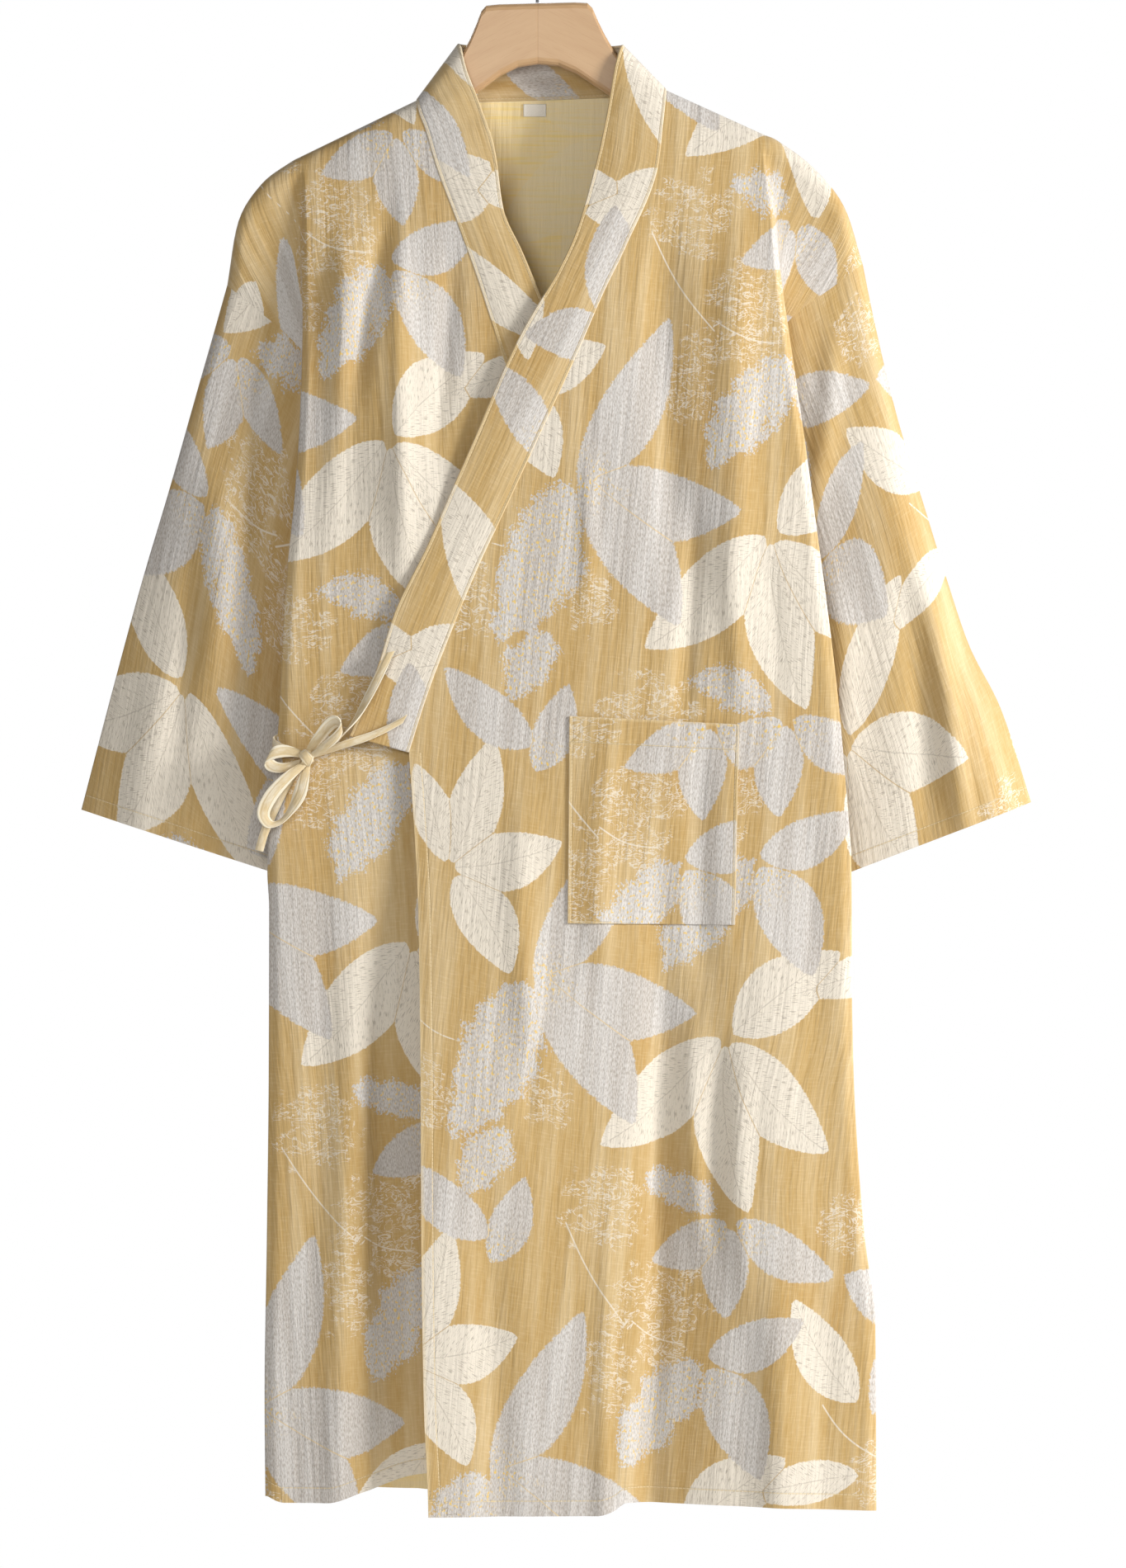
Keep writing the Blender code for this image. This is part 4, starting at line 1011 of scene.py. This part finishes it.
# A painted highlight along both edges of the strip.
tie_colour = (abs(tie_cut.part(0)).step(0.0028, 0.0036) * 0.8).paint(tie_colour, TIE_EDGE_HIGHLIGHT)
tie_beat = tie_cut.part(1) * 400.0
tie_stitch = tie_edge_gap.step(0.0005, 0.0002) * abs(tie_beat.math("FRACT", tie_beat) - 0.5).step(0.44, 0.36)
tie_colour = (tie_stitch * 0.6).paint(tie_colour, THREAD_AND_EDGE_HIGHLIGHT)
tie_height = tie_cut.noise(700, 90) * 0.3 + tie_cut.noise(1500, 1500) * 0.08
coat(tie_start, tie_shader, tie_colour, tie_height - tie_edge_gap.step(0.0009, 0.0) * 0.15)


def ribbon(name, table, steps=7):
    """A folded strip along its centre line, crowned across, its edges rounded."""
    line = spline(table, steps)
    run = np.concatenate([[0], np.cumsum(np.linalg.norm(np.diff(line[:, :3], axis=0), axis=1))])
    share = np.linspace(-1, 1, TIE_COLS)
    rows = []
    cut = []
    for (x, y, z, half, turn, tip), way in zip(line, run):
        a, b = math.radians(turn), math.radians(tip)
        across = np.array([math.cos(a) * math.cos(b), -math.sin(b), math.sin(a) * math.cos(b)])
        lift = np.array([0.0, -TIE_CROWN, 0.0]) * (1 - share[:, None] ** 2)
        rows.append(np.array([x, y, z]) + across * half * share[:, None] + lift)
        cut.append(np.column_stack([half * share, np.full(TIE_COLS, way)]))
    quads = grid(len(rows), TIE_COLS)
    piece = sheet_piece(name, np.array(rows), quads, np.array(cut), quads, (tie_cotton,), TIE_THICK)
    round_edge(piece, TIE_EDGE_ROUND, 50)
    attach(piece, "root")
    return piece, run[-1]


for name, table in TIES.items():
    strip, strip_length = ribbon(name + "_ribbon", table)
    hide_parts(name)

# Knot of the bow. One strip of the tie wrapped twice round the crossing of the others, drawn tight
# and crumpled over a dented middle.
wraps = []
for turn_round, lean, middle in ((0.0, 18.0, (0.6, 0.0, -0.2)), (40.0, -38.0, (-0.8, -0.7, 0.4))):
    table = []
    for k in range(13):
        a = math.radians(turn_round + 30 * k)
        lean_a = math.radians(lean)
        up = math.cos(a) * (5.6 + 0.5 * math.sin(3 * a))
        round_knot = KNOT + middle + [up * math.sin(lean_a), -math.sin(a) * 4.6, up * math.cos(lean_a)]
        table.append((*round_knot, 3.6 - 0.5 * math.cos(2 * a), -lean, 0))
    wrap, _ = ribbon("knot_wrap", table, 3)
    wraps.append(wrap)
bpy.ops.object.select_all(action="DESELECT")
bpy.ops.mesh.primitive_uv_sphere_add(segments=32, ring_count=20, radius=1.0, location=(0, 0, 0))
knot = bpy.context.object
knot.name = "bow_knot_core"
for vertex in knot.data.vertices:
    direction = np.array(vertex.co)
    dent = 1 + 0.10 * math.sin(5 * direction[0] + 2 * direction[2]) * math.cos(6 * direction[2] + 1)
    vertex.co = Vector((KNOT + direction * [5.4, 4.4, 5.6] * dent) * MM)
knot.data.uv_layers[0].name = "cut"
for corner in knot.data.uv_layers[0].data:
    corner.uv = corner.uv * 0.004
knot.data.materials.append(tie_cotton)
knot.data.shade_smooth()
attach(knot, "root")
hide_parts("bow_knot")
for count, wrap in enumerate(wraps):
    wrap.name = f"bow_knot_wrap_{count + 1}"

# Label. A small woven cotton tab with its ends turned under, sewn flat below the back neck seam.
# It is bare.
LABEL = (18.0, 10.0)
LABEL_AT = (-2.6, -143.8)
LABEL_THICK = 0.5
LABEL_STANDS = 1.1          # its middle lies this far in front of the back's own
LABEL_GRID = (13, 21)
BACK_TOP_ROWS = 36
BACK_SIDE_COLS = 40
LABEL_WHITE = ink(250, 244, 230)
LABEL_SHADE = ink(230, 221, 200)
label_white, label_shader, label_start = finish("woven_label", 0.6, Sheen_Weight=0.1)
label_cut = label_start.node("ShaderNodeUVMap", {"uv_map": "cut"})
label_weave = label_cut.noise(4000, 700).step(0.4, 0.7) * 0.5
label_colour = label_weave.paint(LABEL_WHITE, LABEL_SHADE)
coat(label_start, label_shader, label_colour, label_weave * 0.12)
back_tree = target(back_points, range(BACK_TOP_ROWS),
                   range(BACK_SIDE_COLS, back_points.shape[1] - BACK_SIDE_COLS - 1))
label_rows = []
label_uv = []
for v in np.linspace(0.5, -0.5, LABEL_GRID[0]):
    for u in np.linspace(-0.5, 0.5, LABEL_GRID[1]):
        x, z = LABEL_AT[0] + u * LABEL[0], LABEL_AT[1] + v * LABEL[1]
        hit = back_tree.ray_cast(Vector((x, 0.0, z)), Vector((0, 1, 0)))[0]
        turned = 0.35 * ease(0.40, 0.46, abs(u)) + 0.5 * (0.5 - v) ** 2
        label_rows.append((x, hit.y - LABEL_STANDS - turned, z))
        label_uv.append((u * LABEL[0], v * LABEL[1]))
index = np.arange(LABEL_GRID[0] * LABEL_GRID[1]).reshape(LABEL_GRID)
label_faces = np.stack([index[:-1, :-1], index[1:, :-1], index[1:, 1:], index[:-1, 1:]], -1).reshape(-1, 4)
label = sheet_piece("label_tab", np.array(label_rows), label_faces, np.array(label_uv), label_faces,
                    (label_white,), LABEL_THICK)
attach(label, "root")
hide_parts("label")

# Hanger. Two arms of flat beech, glued at the middle, sanded round and varnished satin. The grain
# follows each arm down from the joint.
GRAIN_SLOPE = math.radians(27)
BEECH = ink(205, 168, 125)
BEECH_DARK = ink(184, 141, 98)
beech, beech_shader, beech_start = finish("beech", 0.4, Coat_Weight=0.25, Coat_Roughness=0.25)
wood_place = beech_start.node("ShaderNodeTexCoord", {}, {}, 3)
out = abs(wood_place.part(0))
height = wood_place.part(2)
along_arm = out * math.cos(GRAIN_SLOPE) - height * math.sin(GRAIN_SLOPE)
over_arm = out * math.sin(GRAIN_SLOPE) + height * math.cos(GRAIN_SLOPE)
arm = beech_start.node("ShaderNodeCombineXYZ", {}, {0: along_arm, 1: over_arm, 2: wood_place.part(1)})
rings_of_growth = arm.noise(9, 85, 60, detail=4)
pores = arm.noise(60, 1600, 1600, detail=1)
tone = rings_of_growth.step(0.3, 0.75) * 0.45 + pores.step(0.55, 0.75) * 0.3
wood = tone.paint(BEECH, BEECH_DARK)
joint = out.step(0.0006, 0.0002)
wood = (joint * 0.45).paint(wood, BEECH_DARK)
coat(beech_start, beech_shader, wood, pores * -0.03 - joint * 0.05)


def dress(node, mat):
    """Give a solid that stays in sight its finish."""
    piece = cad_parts[node]
    piece.data.materials.clear()
    piece.data.materials.append(mat)


dress("hanger", beech)

# Hook. Polished steel wire, bent round to hang on a rail, its straight end screwed into the top
# of the board.
STEEL = ink(188, 188, 190)
STEEL_DARK = ink(164, 164, 168)
steel, steel_shader, steel_start = finish("steel_wire", 0.25, Metallic=1.0)
steel_place = steel_start.node("ShaderNodeTexCoord", {}, {}, 3)
steel_tone = steel_place.noise(400, 400, 400).step(0.3, 0.7).paint(STEEL, STEEL_DARK)
coat(steel_start, steel_shader, steel_tone)
dress("hook", steel)
